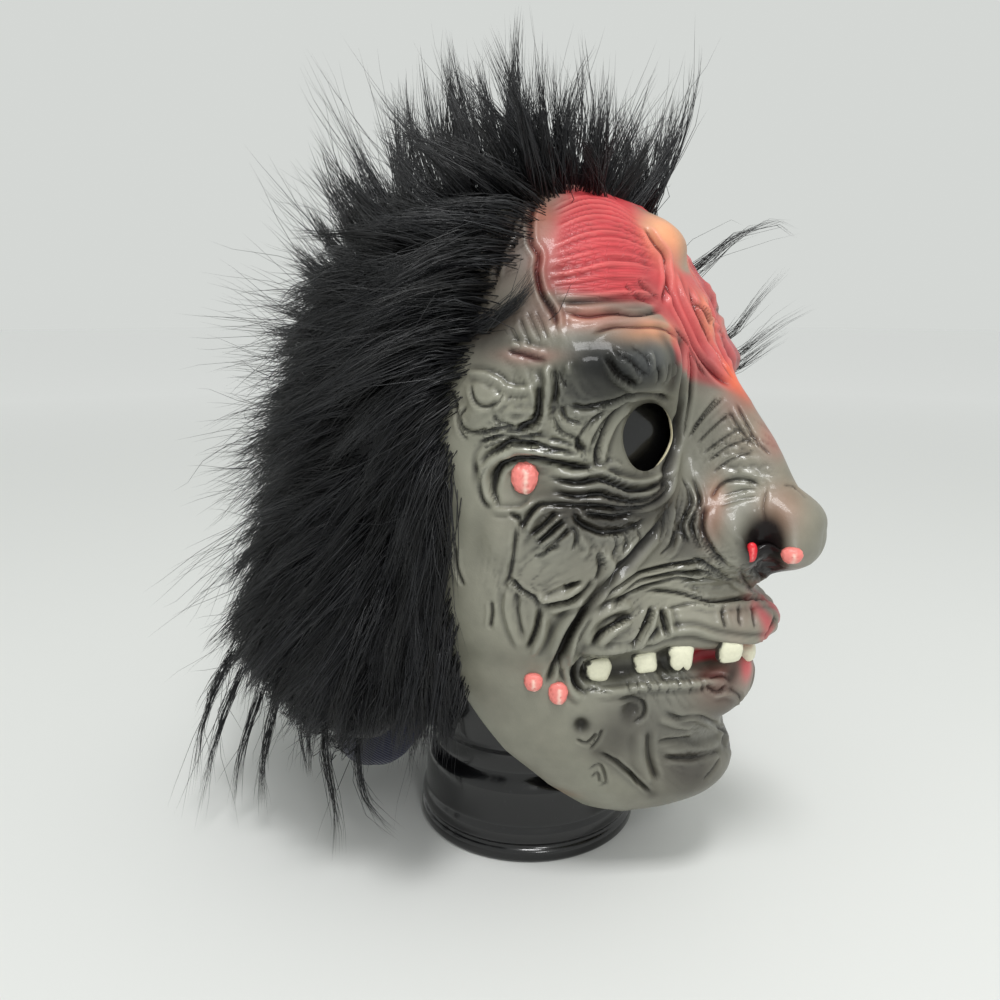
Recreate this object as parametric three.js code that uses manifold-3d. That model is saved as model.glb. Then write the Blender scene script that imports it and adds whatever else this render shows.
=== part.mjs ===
// A monster mask of moulded latex with a hood of long black fake fur, worn on a black display head.
// Millimetres, +Z up. The mask looks along -Y, its right cheek is at -X, and the foot stands on Z = 0.

import * as THREE from 'three';
import { mergeVertices } from 'three/addons/utils/BufferGeometryUtils.js';
import Module from 'manifold-3d';

const wasm = await Module();
wasm.setup();

// Driving dimensions
const FOOT_RADIUS = 50.4;
const NECK_RADIUS = 46.5;
const FORM_SHOULDER = 264;
const FORM_CROWN_RISE = 9;
const LATEX_WALL = 2.2;
const SEAM = 0.4;
const FACE_TOP = 281;
const FACE_BOTTOM = 25;
const FUR_LINING_GAP = 1.2;
const FUR_CROWN_RISE = 4;
const LINING_LEAVES_HEAD = 150;
const LOCK_SPREAD = 8;
const LOCK_SWAY = 2.4;
const LOCK_TAPER = [1, 0.74];
const LOCK_FLATNESS = 0.65;
const GOLDEN_SHARE = 0.618;
const FACE_HALF_WIDTH = 81;
const SIDE_PUSH = 0.8;
const MOUTH_Z = 102;
const NOSE_TIP_Z = 153;
const NOSE_ROUNDNESS = 2.4;
const EYE = { across: 36, up: 189, turn: 22, halfWidth: 13, halfHeight: 14.2, cutDepth: 60 };

// Mesh density
const FACE_COLUMNS = 28;
const FACE_STEP = 0.5;
const TURN_STEP = 0.005;
const SEARCH_STEPS = 30;
const FRONT_CROWDING = 0.62;
const FUR_SEGMENTS = 24;
const FORM_SEGMENTS = 22;
const EYE_SEGMENTS = 18;
const WART_SEGMENTS = [7, 4];
const LOCK_SIDES = 4;

// The latex face at rising depths under the crown: the front is where the bare oval crosses the middle plane,
// and the side is how far forward the free edge lies.
const faceLevels = [
  { z: FACE_TOP, half: 22, front: -31, side: -16 },
  { z: 274, half: 38, front: -46, side: -17 },
  { z: 262, half: 52, front: -58, side: -18 },
  { z: 245, half: 65, front: -67, side: -18 },
  { z: 224, half: 75, front: -78, side: -15 },
  { z: 200, half: 80, front: -84, side: -12 },
  { z: 170, half: FACE_HALF_WIDTH, front: -86, side: -10 },
  { z: 140, half: 80, front: -84, side: -8 },
  { z: 112, half: 77, front: -82, side: -8 },
  { z: 86, half: 70, front: -81, side: -15 },
  { z: 62, half: 60, front: -81, side: -28 },
  { z: 45, half: 48, front: -81, side: -41 },
  { z: 33, half: 35, front: -76, side: -50 },
  { z: FACE_BOTTOM, half: 20, front: -66, side: -56 },
];

// Rows of the face mesh: close together where the nose and lips are.
const rowZones = [
  { from: FACE_TOP, to: 205, rows: 8, ease: 1.35 },
  { from: 205, to: 128, rows: 10, ease: 1 },
  { from: 128, to: MOUTH_Z, rows: 5, ease: 1 },
  { from: MOUTH_Z, to: 62, rows: 7, ease: 1 },
  { from: 62, to: FACE_BOTTOM, rows: 5, ease: 1 },
];

// How far the ridge of the nose stands out, and how wide it is, from the brow down to the lip.
const noseLevels = [
  { z: 222, out: 0, wide: 10 },
  { z: 212, out: 5, wide: 10 },
  { z: 200, out: 13, wide: 10 },
  { z: 184, out: 24, wide: 11 },
  { z: 168, out: 32, wide: 13.5 },
  { z: 160, out: 41, wide: 15.5 },
  { z: NOSE_TIP_Z, out: 42, wide: 16 },
  { z: 141, out: 38, wide: 15 },
  { z: 132, out: 16, wide: 13 },
  { z: 124, out: 0, wide: 12 },
];

// Soft swellings and hollows of the face: where each is, how far it reaches across and up, and how far it
// stands out.
const faceForms = [
  { across: 0, up: 97, wide: 32, high: 32, out: 23 }, // muzzle
  { across: 0, up: 116, wide: 29, high: 12, out: 16 }, // upper lip
  { across: 0, up: 80, wide: 27, high: 9, out: 7 }, // lower lip
  { across: 0, up: MOUTH_Z, wide: 50, high: 5.5, out: -9 }, // mouth
  { across: 0, up: 45, wide: 25, high: 15, out: 13 }, // chin
  { across: 16, up: 148, wide: 8, high: 11, out: 20 }, // nose wing
  { across: 0, up: 225, wide: 13, high: 26, out: 4 }, // nose root strip
  { across: 0, up: 260, wide: 11, high: 9, out: 6 }, // forehead lump
  { across: 0, up: 238, wide: 13, high: 10, out: 4 }, // knot over the nose
  { across: 33, up: 250, wide: 23, high: 22, out: 3 }, // forehead bulge
  { across: 44, up: 214, wide: 18, high: 11, out: 8 }, // brow
  { across: 19, up: 190, wide: 6, high: 18, out: -5 }, // inner eye corner
  { across: 37, up: 188, wide: 17, high: 14, out: -5 }, // eye socket
  { across: 43, up: 166, wide: 20, high: 8, out: 3 }, // eye bag
  { across: 58, up: 150, wide: 20, high: 22, out: 3 }, // cheekbone
  { across: 52, up: 122, wide: 10, high: 20, out: 3 }, // cheek fold
  { across: 46, up: 72, wide: 22, high: 16, out: 2 }, // jowl
];

// Upper teeth: where each stands along the mouth, with its width and height. They are few and far apart.
const teeth = [
  { across: -54, wide: 10, high: 10.5 },
  { across: -41, wide: 9.5, high: 10 },
  { across: -30, wide: 10, high: 12 },
  { across: -10, wide: 10, high: 10 },
  { across: 4, wide: 8.5, high: 8 },
  { across: 21, wide: 10, high: 11.5 },
  { across: 37, wide: 9.5, high: 10 },
  { across: 51, wide: 10, high: 10 },
];
const TOOTH_DEPTH = 7;
const TOOTH_SUNK = 2;
const TOOTH_ROUNDING = 0.3;

// Round warts on the cheeks, the jaw and the nose.
const warts = [
  { across: -72.5, up: 176, radius: 6.5 },
  { across: -65, up: 96, radius: 4.2 },
  { across: -60, up: 92, radius: 4.8 },
  { across: -14, up: 146, radius: 4.2 },
  { across: 68, up: 152, radius: 5.6 },
  { across: 60, up: 84, radius: 4.6 },
];
const WART_FLATNESS = 0.6;
const WART_LIFT = 0.2;

// The display head: a ringed foot, the neck, and a smooth egg with no features.
const formLevels = [
  { z: 0, half: FOOT_RADIUS - 1, front: FOOT_RADIUS - 1, back: FOOT_RADIUS - 1, mid: 0 },
  { z: 1.2, half: FOOT_RADIUS, front: FOOT_RADIUS, back: FOOT_RADIUS, mid: 0 },
  { z: 5, half: FOOT_RADIUS, front: FOOT_RADIUS, back: FOOT_RADIUS, mid: 0 },
  { z: 7, half: FOOT_RADIUS - 2, front: FOOT_RADIUS - 2, back: FOOT_RADIUS - 2, mid: 0 },
  { z: 9, half: FOOT_RADIUS - 0.6, front: FOOT_RADIUS - 0.6, back: FOOT_RADIUS - 0.6, mid: 0 },
  { z: 13, half: FOOT_RADIUS - 1, front: FOOT_RADIUS - 1, back: FOOT_RADIUS - 1, mid: 0 },
  { z: 16, half: NECK_RADIUS + 1.5, front: NECK_RADIUS + 1.5, back: NECK_RADIUS + 1.5, mid: 0 },
  { z: 44, half: NECK_RADIUS, front: NECK_RADIUS, back: NECK_RADIUS, mid: 0 },
  { z: 72, half: NECK_RADIUS + 1, front: NECK_RADIUS, back: NECK_RADIUS + 2, mid: 0 },
  { z: 88, half: 52, front: 55, back: 57, mid: 0 },
  { z: 110, half: 61, front: 69, back: 68, mid: 2 },
  { z: 140, half: 69, front: 77, back: 79, mid: 4 },
  { z: 170, half: 73, front: 80, back: 85, mid: 6 },
  { z: 200, half: 73, front: 80, back: 86, mid: 7 },
  { z: 226, half: 68, front: 73, back: 79, mid: 8 },
  { z: 248, half: 55, front: 58, back: 63, mid: 9 },
  { z: FORM_SHOULDER, half: 36, front: 38, back: 41, mid: 10 },
];

// The space inside the hood: it follows the head down to its widest part, then hangs straight.
const liningLevels = [
  { z: 10, half: 74, front: 74, back: 84, mid: 8 },
  { z: 60, half: 74.5, front: 74, back: 86, mid: 8 },
  { z: 120, half: 75, front: 77, back: 87, mid: 7 },
];

// The outside of the fur, as one soft mass.
const furLevels = [
  { z: 42, half: 86, front: 52, back: 92, mid: 22 },
  { z: 54, half: 96, front: 64, back: 108, mid: 24 },
  { z: 90, half: 102, front: 71, back: 114, mid: 26 },
  { z: 140, half: 104, front: 72, back: 115, mid: 26 },
  { z: 190, half: 104, front: 76, back: 114, mid: 25 },
  { z: 230, half: 96, front: 76, back: 104, mid: 22 },
  { z: 262, half: 78, front: 66, back: 84, mid: 18 },
  { z: 286, half: 50, front: 44, back: 54, mid: 12 },
  { z: 296, half: 24, front: 24, back: 28, mid: 8 },
];

// The line where fur meets latex, seen from the side, from the hem up over the brow.
const hairline = [
  { y: 4, z: 30 },
  { y: -1, z: 80 },
  { y: -6.5, z: 112 },
  { y: -6.5, z: 140 },
  { y: -10.5, z: 200 },
  { y: -16, z: 245 },
  { y: -22, z: 268 },
  { y: -34, z: 290 },
  { y: -38, z: 350 },
];
const HAIRLINE_BLOCK = { front: -260, under: -30, width: 400 };

// Locks of the fur by the height they grow from: the slope over the level that they leave at and end with, in
// degrees, their length and width, and how far out in the mass they start.
const lockLevels = [
  { z: 290, leaves: 84, ends: 72, length: 46, wide: 15, reach: 0.5 },
  { z: 268, leaves: 48, ends: 64, length: 46, wide: 17, reach: 0.74 },
  { z: 230, leaves: 16, ends: 32, length: 36, wide: 18, reach: 0.86 },
  { z: 190, leaves: -20, ends: -8, length: 34, wide: 18, reach: 0.9 },
  { z: 150, leaves: -36, ends: -30, length: 38, wide: 18, reach: 0.9 },
  { z: 110, leaves: -50, ends: -62, length: 46, wide: 18, reach: 0.9 },
  { z: 62, leaves: -64, ends: -86, length: 46, wide: 15, reach: 0.9 },
];
const LOCKS = { count: 56, top: 290, foot: 62, crowding: 1.1 };

// How far forward the locks grow at a height: the angle from the nose at which they start, in degrees.
const lockEdges = [
  { z: 290, start: 0 },
  { z: 262, start: 36 },
  { z: 226, start: 62 },
  { z: 62, start: 66 },
];

// A value at a height, by a smooth curve through a list of levels sorted from the top down.
function readAt(levels, key, z) {
  const below = levels.findIndex((level) => level.z < z);
  const i = below === -1 ? levels.length - 2 : Math.max(below - 1, 0);
  const t = THREE.MathUtils.clamp((levels[i].z - z) / (levels[i].z - levels[i + 1].z), 0, 1);
  const pick = (k) => levels[THREE.MathUtils.clamp(k, 0, levels.length - 1)][key];
  const [a, b, c, d] = [pick(i - 1), pick(i), pick(i + 1), pick(i + 2)];
  return b + 0.5 * t * (c - a + t * (2 * a - 5 * b + 4 * c - d + t * (3 * (b - c) + d - a)));
}

const bump = (x, y) => Math.exp(-(x * x + y * y));

// How far the sculpted face stands out of the bare oval at a place seen from the front.
function standOut(x, z) {
  let out = 0;
  for (const form of faceForms) {
    const side = form.across === 0 ? x : Math.abs(x) - form.across;
    out += form.out * bump(side / form.wide, (z - form.up) / form.high);
  }
  const ridge = Math.max(readAt(noseLevels, 'out', z), 0);
  out += ridge * Math.exp(-((Math.abs(x) / readAt(noseLevels, 'wide', z)) ** NOSE_ROUNDNESS));
  return out;
}

// A point of the latex at a height, where turn runs from one free edge at -1 to the other at 1.
function facePoint(turn, z) {
  const angle = (turn * (FRONT_CROWDING + (1 - FRONT_CROWDING) * turn * turn) * Math.PI) / 2;
  const [half, front, side] = ['half', 'front', 'side'].map((key) => readAt(faceLevels, key, z));
  const x = half * Math.sin(angle);
  const away = new THREE.Vector3(Math.sin(angle) * SIDE_PUSH, -Math.cos(angle), 0).normalize();
  const bare = new THREE.Vector3(x, side - (side - front) * Math.cos(angle), z);
  return bare.addScaledVector(away, standOut(x, z));
}

// Two short steps on the face, across it and down it.
function faceSteps(turn, z) {
  const [high, low] = [Math.min(z + FACE_STEP, FACE_TOP), Math.max(z - FACE_STEP, FACE_BOTTOM)];
  const across = facePoint(turn + TURN_STEP, z).sub(facePoint(turn - TURN_STEP, z)).normalize();
  const down = facePoint(turn, low).sub(facePoint(turn, high)).normalize();
  return { across, down, normal: down.clone().cross(across).normalize() };
}

// The point and the outward direction of the face at a place seen from the front.
function faceAt(across, up) {
  let [low, high] = [-1, 1];
  for (let i = 0; i < SEARCH_STEPS; i++) {
    const middle = (low + high) / 2;
    if (facePoint(middle, up).x < across) low = middle;
    else high = middle;
  }
  return { point: facePoint(low, up), normal: faceSteps(low, up).normal };
}

// A closed solid from a geometry, and back again.
function toSolid(geometry) {
  const plain = geometry.clone();
  plain.deleteAttribute('normal');
  plain.deleteAttribute('uv');
  const merged = mergeVertices(plain, 1e-4);
  const vertProperties = new Float32Array(merged.attributes.position.array);
  const triVerts = new Uint32Array(merged.index.array);
  return new wasm.Manifold(new wasm.Mesh({ numProp: 3, vertProperties, triVerts }));
}

function toGeometry(solid) {
  const mesh = solid.getMesh();
  const geometry = new THREE.BufferGeometry();
  geometry.setAttribute('position', new THREE.BufferAttribute(mesh.vertProperties, 3));
  geometry.setIndex(new THREE.BufferAttribute(mesh.triVerts, 1));
  const shaded = geometry.toNonIndexed();
  shaded.computeVertexNormals();
  return shaded;
}

function geometryOf(points, faces) {
  const geometry = new THREE.BufferGeometry();
  geometry.setAttribute('position', new THREE.Float32BufferAttribute(points.flatMap((p) => p.toArray()), 3));
  geometry.setIndex(faces);
  return geometry;
}

// The heights of the face mesh's rows, from the crown down.
function rowHeights() {
  const heights = [rowZones[0].from];
  for (const { from, to, rows, ease } of rowZones) {
    for (let k = 1; k <= rows; k++) heights.push(from + (to - from) * (k / rows) ** ease);
  }
  return heights;
}

// A shell on the face: from a depth inside its surface to a height over it, and a little past its free edges.
function faceShell(inside, over, past) {
  const [points, faces] = [[], []];
  const columns = FACE_COLUMNS;
  const heights = rowHeights();
  const rows = heights.length - 1;
  const index = (layer, i, j) => (layer * (rows + 1) + i) * (columns + 1) + j;
  for (const depth of [over, -inside]) {
    heights.forEach((z, i) => {
      for (let j = 0; j <= columns; j++) {
        const turn = (2 * j) / columns - 1;
        const here = facePoint(turn, z);
        const { across, down, normal } = faceSteps(turn, z);
        if (j === 0) here.addScaledVector(across, -past);
        if (j === columns) here.addScaledVector(across, past);
        if (i === 0) here.addScaledVector(down, -past);
        if (i === rows) here.addScaledVector(down, past);
        points.push(here.addScaledVector(normal, depth));
      }
    });
  }
  const quad = (a, b, c, d) => faces.push(a, b, c, a, c, d);
  for (let i = 0; i < rows; i++) {
    for (let j = 0; j < columns; j++) {
      quad(index(0, i, j), index(0, i + 1, j), index(0, i + 1, j + 1), index(0, i, j + 1));
      quad(index(1, i, j), index(1, i, j + 1), index(1, i + 1, j + 1), index(1, i + 1, j));
    }
  }
  for (let i = 0; i < rows; i++) {
    quad(index(0, i, 0), index(1, i, 0), index(1, i + 1, 0), index(0, i + 1, 0));
    quad(index(0, i, columns), index(0, i + 1, columns), index(1, i + 1, columns), index(1, i, columns));
  }
  for (let j = 0; j < columns; j++) {
    quad(index(0, 0, j), index(0, 0, j + 1), index(1, 0, j + 1), index(1, 0, j));
    quad(index(0, rows, j), index(1, rows, j), index(1, rows, j + 1), index(0, rows, j + 1));
  }
  return toSolid(geometryOf(points, faces));
}

// A closed body through oval levels, each with its own reach to the front, the back and the sides.
function ovalBody(levels, segments, grow = 0, crown = 0) {
  const [points, faces] = [[], []];
  for (const level of levels) {
    for (let k = 0; k < segments; k++) {
      const angle = (k / segments) * 2 * Math.PI;
      const reach = (Math.cos(angle) > 0 ? level.front : level.back) + grow;
      const x = -(level.half + grow) * Math.sin(angle);
      points.push(new THREE.Vector3(x, level.mid - reach * Math.cos(angle), level.z));
    }
  }
  const [first, last] = [levels[0], levels[levels.length - 1]];
  const bottom = points.push(new THREE.Vector3(0, first.mid, first.z)) - 1;
  const top = points.push(new THREE.Vector3(0, last.mid, last.z + crown)) - 1;
  for (let i = 0; i < levels.length - 1; i++) {
    for (let k = 0; k < segments; k++) {
      const next = (k + 1) % segments;
      const [a, b] = [i * segments + k, i * segments + next];
      faces.push(a, b + segments, b, a, a + segments, b + segments);
    }
  }
  const lastRing = (levels.length - 1) * segments;
  for (let k = 0; k < segments; k++) {
    const next = (k + 1) % segments;
    faces.push(bottom, k, next);
    faces.push(top, lastRing + next, lastRing + k);
  }
  return toSolid(geometryOf(points, faces));
}

function tooth({ across, wide, high }) {
  const { point, normal } = faceAt(across, MOUTH_Z);
  const corner = wide * TOOTH_ROUNDING;
  const outline = new THREE.Shape();
  outline.moveTo(-wide / 2, high / 2);
  outline.lineTo(-wide / 2, -high / 2 + corner);
  outline.absarc(-wide / 2 + corner, -high / 2 + corner, corner, Math.PI, 1.5 * Math.PI);
  outline.absarc(wide / 2 - corner, -high / 2 + corner, corner, 1.5 * Math.PI, 2 * Math.PI);
  outline.lineTo(wide / 2, high / 2);
  const extrusion = { depth: TOOTH_DEPTH, bevelEnabled: false, curveSegments: 1 };
  const block = new THREE.ExtrudeGeometry(outline, extrusion);
  block.translate(0, 0, -TOOTH_SUNK);
  block.rotateX(Math.PI / 2);
  block.rotateZ(Math.atan2(normal.x, -normal.y));
  return toSolid(block.translate(point.x, point.y, point.z));
}

function wart({ across, up, radius }) {
  const { point, normal } = faceAt(across, up);
  const ball = new THREE.SphereGeometry(radius, ...WART_SEGMENTS).scale(1, WART_FLATNESS, 1);
  ball.applyQuaternion(new THREE.Quaternion().setFromUnitVectors(new THREE.Vector3(0, 1, 0), normal));
  point.addScaledVector(normal, radius * WART_LIFT);
  return toSolid(ball.translate(point.x, point.y, point.z));
}

function eyeCutter(side) {
  const { point } = faceAt(side * EYE.across, EYE.up);
  const turn = THREE.MathUtils.degToRad(side * EYE.turn);
  const hole = new THREE.CylinderGeometry(1, 1, EYE.cutDepth, EYE_SEGMENTS);
  hole.scale(EYE.halfWidth, 1, EYE.halfHeight);
  return toSolid(hole.rotateZ(turn).translate(point.x, point.y, point.z));
}

function makeFace() {
  let face = faceShell(LATEX_WALL, 0, 0);
  for (const item of teeth) face = face.add(tooth(item));
  for (const item of warts) face = face.add(wart(item));
  for (const side of [-1, 1]) face = face.subtract(eyeCutter(side));
  return face;
}

// Everything in front of the hairline, as a wide block.
function hairlineCutter() {
  const { front, under, width } = HAIRLINE_BLOCK;
  const outline = new THREE.Shape();
  outline.moveTo(front, under);
  outline.lineTo(hairline[0].y, under);
  for (const corner of hairline) outline.lineTo(corner.y, corner.z);
  outline.lineTo(front, hairline[hairline.length - 1].z);
  const block = new THREE.ExtrudeGeometry(outline, { depth: width, bevelEnabled: false });
  block.translate(0, 0, -width / 2);
  block.rotateX(Math.PI / 2);
  block.rotateZ(Math.PI / 2);
  return toSolid(block);
}

// The fur's outline at a height, between its levels.
function furOutline(z) {
  const above = furLevels.findIndex((level) => level.z > z);
  const [low, high] = [furLevels[above - 1], furLevels[above]];
  const read = (key) => THREE.MathUtils.mapLinear(z, low.z, high.z, low[key], high[key]);
  return { half: read('half'), front: read('front'), back: read('back'), mid: read('mid') };
}

// One tapering, bent lock of fur, from inside the mass to its tip. The locks follow a spiral down the hood.
function lock(index) {
  const share = (index / (LOCKS.count - 1)) ** LOCKS.crowding;
  const z = THREE.MathUtils.lerp(LOCKS.top, LOCKS.foot, share);
  const [leaves, ends, length, wide, inner] = ['leaves', 'ends', 'length', 'wide', 'reach'].map((key) =>
    readAt(lockLevels, key, z)
  );
  const start = readAt(lockEdges, 'start', z);
  const angle = THREE.MathUtils.degToRad(start + (360 - 2 * start) * ((index * GOLDEN_SHARE) % 1));
  const spread = LOCK_SPREAD * Math.sin(index * LOCK_SWAY);
  const outline = furOutline(z);
  const reach = Math.cos(angle) > 0 ? outline.front : outline.back;
  const out = new THREE.Vector3(-Math.sin(angle), -Math.cos(angle), 0);
  const across = new THREE.Vector3(-Math.cos(angle), Math.sin(angle), 0);
  const here = new THREE.Vector3(outline.half * out.x, reach * out.y, 0).multiplyScalar(inner);
  here.add(new THREE.Vector3(0, outline.mid, z));
  const [points, faces] = [[], []];
  const rings = LOCK_TAPER.length;
  LOCK_TAPER.forEach((taper, i) => {
    const slope = THREE.MathUtils.degToRad(spread + leaves + ((ends - leaves) * i) / rings);
    const along = out.clone().multiplyScalar(Math.cos(slope)).setZ(Math.sin(slope));
    const lift = along.clone().cross(across);
    for (let k = 0; k < LOCK_SIDES; k++) {
      const turn = (k / LOCK_SIDES) * 2 * Math.PI;
      const rim = across.clone().multiplyScalar(Math.cos(turn));
      rim.addScaledVector(lift, LOCK_FLATNESS * Math.sin(turn));
      points.push(here.clone().addScaledVector(rim, wide * taper));
    }
    here.addScaledVector(along, length / rings);
  });
  const tip = points.push(here.clone()) - 1;
  for (let k = 0; k < LOCK_SIDES; k++) {
    const next = (k + 1) % LOCK_SIDES;
    for (let i = 0; i < rings - 1; i++) {
      const [a, b] = [i * LOCK_SIDES + k, i * LOCK_SIDES + next];
      faces.push(a, b, b + LOCK_SIDES, a, b + LOCK_SIDES, a + LOCK_SIDES);
    }
    faces.push(tip, (rings - 1) * LOCK_SIDES + k, (rings - 1) * LOCK_SIDES + next);
    if (k > 0 && k < LOCK_SIDES - 1) faces.push(0, next, k);
  }
  return toSolid(geometryOf(points, faces));
}

function makeFur() {
  let fur = ovalBody(furLevels, FUR_SEGMENTS, 0, FUR_CROWN_RISE);
  for (let index = 0; index < LOCKS.count; index++) fur = fur.add(lock(index));
  const upperForm = formLevels.filter((level) => level.z > LINING_LEAVES_HEAD);
  const lining = [...liningLevels, ...upperForm];
  return fur
    .subtract(hairlineCutter())
    .subtract(ovalBody(lining, FORM_SEGMENTS, FUR_LINING_GAP, FORM_CROWN_RISE))
    .subtract(faceShell(LATEX_WALL + SEAM, SEAM, SEAM));
}

function addPiece(group, name, solid, look) {
  const mesh = new THREE.Mesh(toGeometry(solid), new THREE.MeshStandardMaterial(look));
  mesh.name = name;
  group.add(mesh);
}

const mask = new THREE.Group();
addPiece(mask, 'latex_face', makeFace(), { color: 0x6f6e63, roughness: 0.42, metalness: 0 });
addPiece(mask, 'fur_hood', makeFur(), { color: 0x15161a, roughness: 0.9, metalness: 0 });
const form = ovalBody(formLevels, FORM_SEGMENTS, 0, FORM_CROWN_RISE);
addPiece(mask, 'head_form', form, { color: 0x0b0b0c, roughness: 0.15, metalness: 0 });

export default mask;
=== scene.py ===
# %% [markdown]
# # A monster mask of painted latex, with a hood of long black fake fur
# The real object is a costume mask that is worn on a glossy black display head. A moulded skin of latex makes
# the face, a hood of fake fur is glued to its rim, and the display head holds both up. The measured model is
# loaded first, and every new piece is built around it, in the same frame. The working unit of this lesson is
# the millimetre, and each mesh is turned to metres as it is made.

# %% Load the measured model
import math

import bmesh
import bpy
import numpy as np
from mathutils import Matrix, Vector, noise as perlin
from mathutils.bvhtree import BVHTree
from numpy.linalg import norm


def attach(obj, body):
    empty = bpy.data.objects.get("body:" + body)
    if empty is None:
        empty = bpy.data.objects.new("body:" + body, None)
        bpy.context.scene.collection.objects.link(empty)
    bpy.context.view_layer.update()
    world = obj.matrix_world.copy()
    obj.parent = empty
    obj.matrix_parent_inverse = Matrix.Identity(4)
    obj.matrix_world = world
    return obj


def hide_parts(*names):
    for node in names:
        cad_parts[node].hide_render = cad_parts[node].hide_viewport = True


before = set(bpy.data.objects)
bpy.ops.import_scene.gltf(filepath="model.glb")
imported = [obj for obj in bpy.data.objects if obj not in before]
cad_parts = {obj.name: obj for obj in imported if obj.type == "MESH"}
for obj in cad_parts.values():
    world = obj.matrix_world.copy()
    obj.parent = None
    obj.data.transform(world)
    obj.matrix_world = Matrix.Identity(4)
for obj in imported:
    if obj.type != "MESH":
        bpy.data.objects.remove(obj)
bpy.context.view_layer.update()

MM = 0.001
scene = bpy.context.scene

# %% [markdown]
# ## The camera
# The photograph was taken from the mask's right and a little above it. The camera's place was worked out from
# the round foot of the display head, which is 101 mm across and shows as an ellipse. The camera comes first,
# because places on the face are named by where they lie in the picture, and found by a ray from the camera.

# %% Set up the camera
CAMERA_PLACE = Vector((-335.6, -210.8, 236.0))
CAMERA_HEADING = math.radians(56)
CAMERA_TILT = math.radians(12.32)
LENS = 32.4
SENSOR = 36.0
PICTURE = 1000
FOCAL = PICTURE * LENS / SENSOR

level_share = math.cos(CAMERA_TILT)
look = Vector(
    (math.sin(CAMERA_HEADING) * level_share, math.cos(CAMERA_HEADING) * level_share, -math.sin(CAMERA_TILT))
)
right = Vector((math.cos(CAMERA_HEADING), -math.sin(CAMERA_HEADING), 0))
above = right.cross(look)

camera_data = bpy.data.cameras.new("camera")
camera_data.lens = LENS
camera_data.sensor_width = SENSOR
camera_data.clip_start = 0.01
camera = bpy.data.objects.new("camera", camera_data)
camera.location = CAMERA_PLACE * MM
camera.rotation_mode = "QUATERNION"
camera.rotation_quaternion = look.to_track_quat("-Z", "Y")
scene.collection.objects.link(camera)
scene.camera = camera


def picture_ray(px, py):
    """The direction from the camera through a point of the picture."""
    return (look * FOCAL + right * (px - PICTURE / 2) - above * (py - PICTURE / 2)).normalized()


print("camera", LENS, "mm lens, heading", round(math.degrees(CAMERA_HEADING)), "degrees")

# %% [markdown]
# ## Helpers for materials
# Colours are written as the hex values that a painter would pick on screen, and one function makes them
# linear, which is what a shader expects. A second function adds any node, with its settings and its links,
# and a third links what is ready to the shader. So each material below reads as a short list of steps.

# %% Colours and nodes


def paint(hex_code):
    """An sRGB hex colour as linear RGB."""
    values = [int(hex_code[k : k + 2], 16) / 255 for k in (1, 3, 5)]
    return [v / 12.92 if v <= 0.04045 else ((v + 0.055) / 1.055) ** 2.4 for v in values]


def rgba(hex_code):
    """The same colour as the four numbers of a colour socket."""
    return (*paint(hex_code), 1)


def output_of(source):
    """The first output of a node, or the output itself if that is what is given."""
    return source.outputs[0] if isinstance(source, bpy.types.Node) else source


def node(material, kind, links=None, **settings):
    """Adds a node. Links give an input and the node or output that feeds it; other words are settings."""
    made = material.node_tree.nodes.new("ShaderNode" + kind)
    for key, value in settings.items():
        if key.startswith("in_"):
            name = key[3:]
            made.inputs[int(name) if name.isdigit() else name.replace("_", " ")].default_value = value
        else:
            setattr(made, key, value)
    for name, source in (links or {}).items():
        material.node_tree.links.new(output_of(source), made.inputs[name])
    return made


def new_material(name, **constants):
    """A material with one Principled shader, whose constant values are set on its own sockets."""
    material = bpy.data.materials.new(name)
    material.use_nodes = True
    shader = material.node_tree.nodes["Principled BSDF"]
    for key, value in constants.items():
        shader.inputs[key.replace("_", " ")].default_value = value
    return material, shader


def feed(shader, **sources):
    """Links nodes or outputs to inputs of the shader."""
    for key, source in sources.items():
        shader.id_data.links.new(output_of(source), shader.inputs[key.replace("_", " ")])


print("working colours are linear: #868577 is", [round(v, 3) for v in paint("#868577")])

# %% [markdown]
# ## The bare form of the face
# Latex is poured into a plaster mould, so the skin is one even sheet over a sculpted form. The form starts as
# a half oval at every height, which leans out to a nose, a muzzle and a chin by smooth swellings. It can be
# written as one function of a turn round the face and a height, and then the sheet is a grid that an operator
# makes, with its points laid on that function.

# %% Heights, swellings and the function of the face
FACE_TOP, FACE_BOTTOM = 281, 25
# height, half width, front, free edge
FACE_LEVELS = [
    (281, 22, -31, -16), (274, 38, -46, -17), (262, 52, -58, -18), (245, 65, -67, -18), (224, 75, -78, -15),
    (200, 80, -84, -12), (170, 81, -86, -10), (140, 80, -84, -8), (112, 77, -82, -8), (86, 70, -81, -15),
    (62, 60, -81, -28), (45, 48, -81, -41), (33, 35, -76, -50), (25, 20, -66, -56),
]  # fmt: skip
# height, how far the ridge of the nose stands out, how wide it is
NOSE_LEVELS = [
    (222, 0, 10), (212, 5, 10), (200, 13, 10), (184, 24, 11), (168, 32, 13.5), (160, 41, 15.5), (153, 42, 16),
    (141, 38, 15), (132, 16, 13), (124, 0, 12),
]  # fmt: skip
NOSE_ROUNDNESS = 2.4
SIDE_PUSH = 0.8
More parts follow.
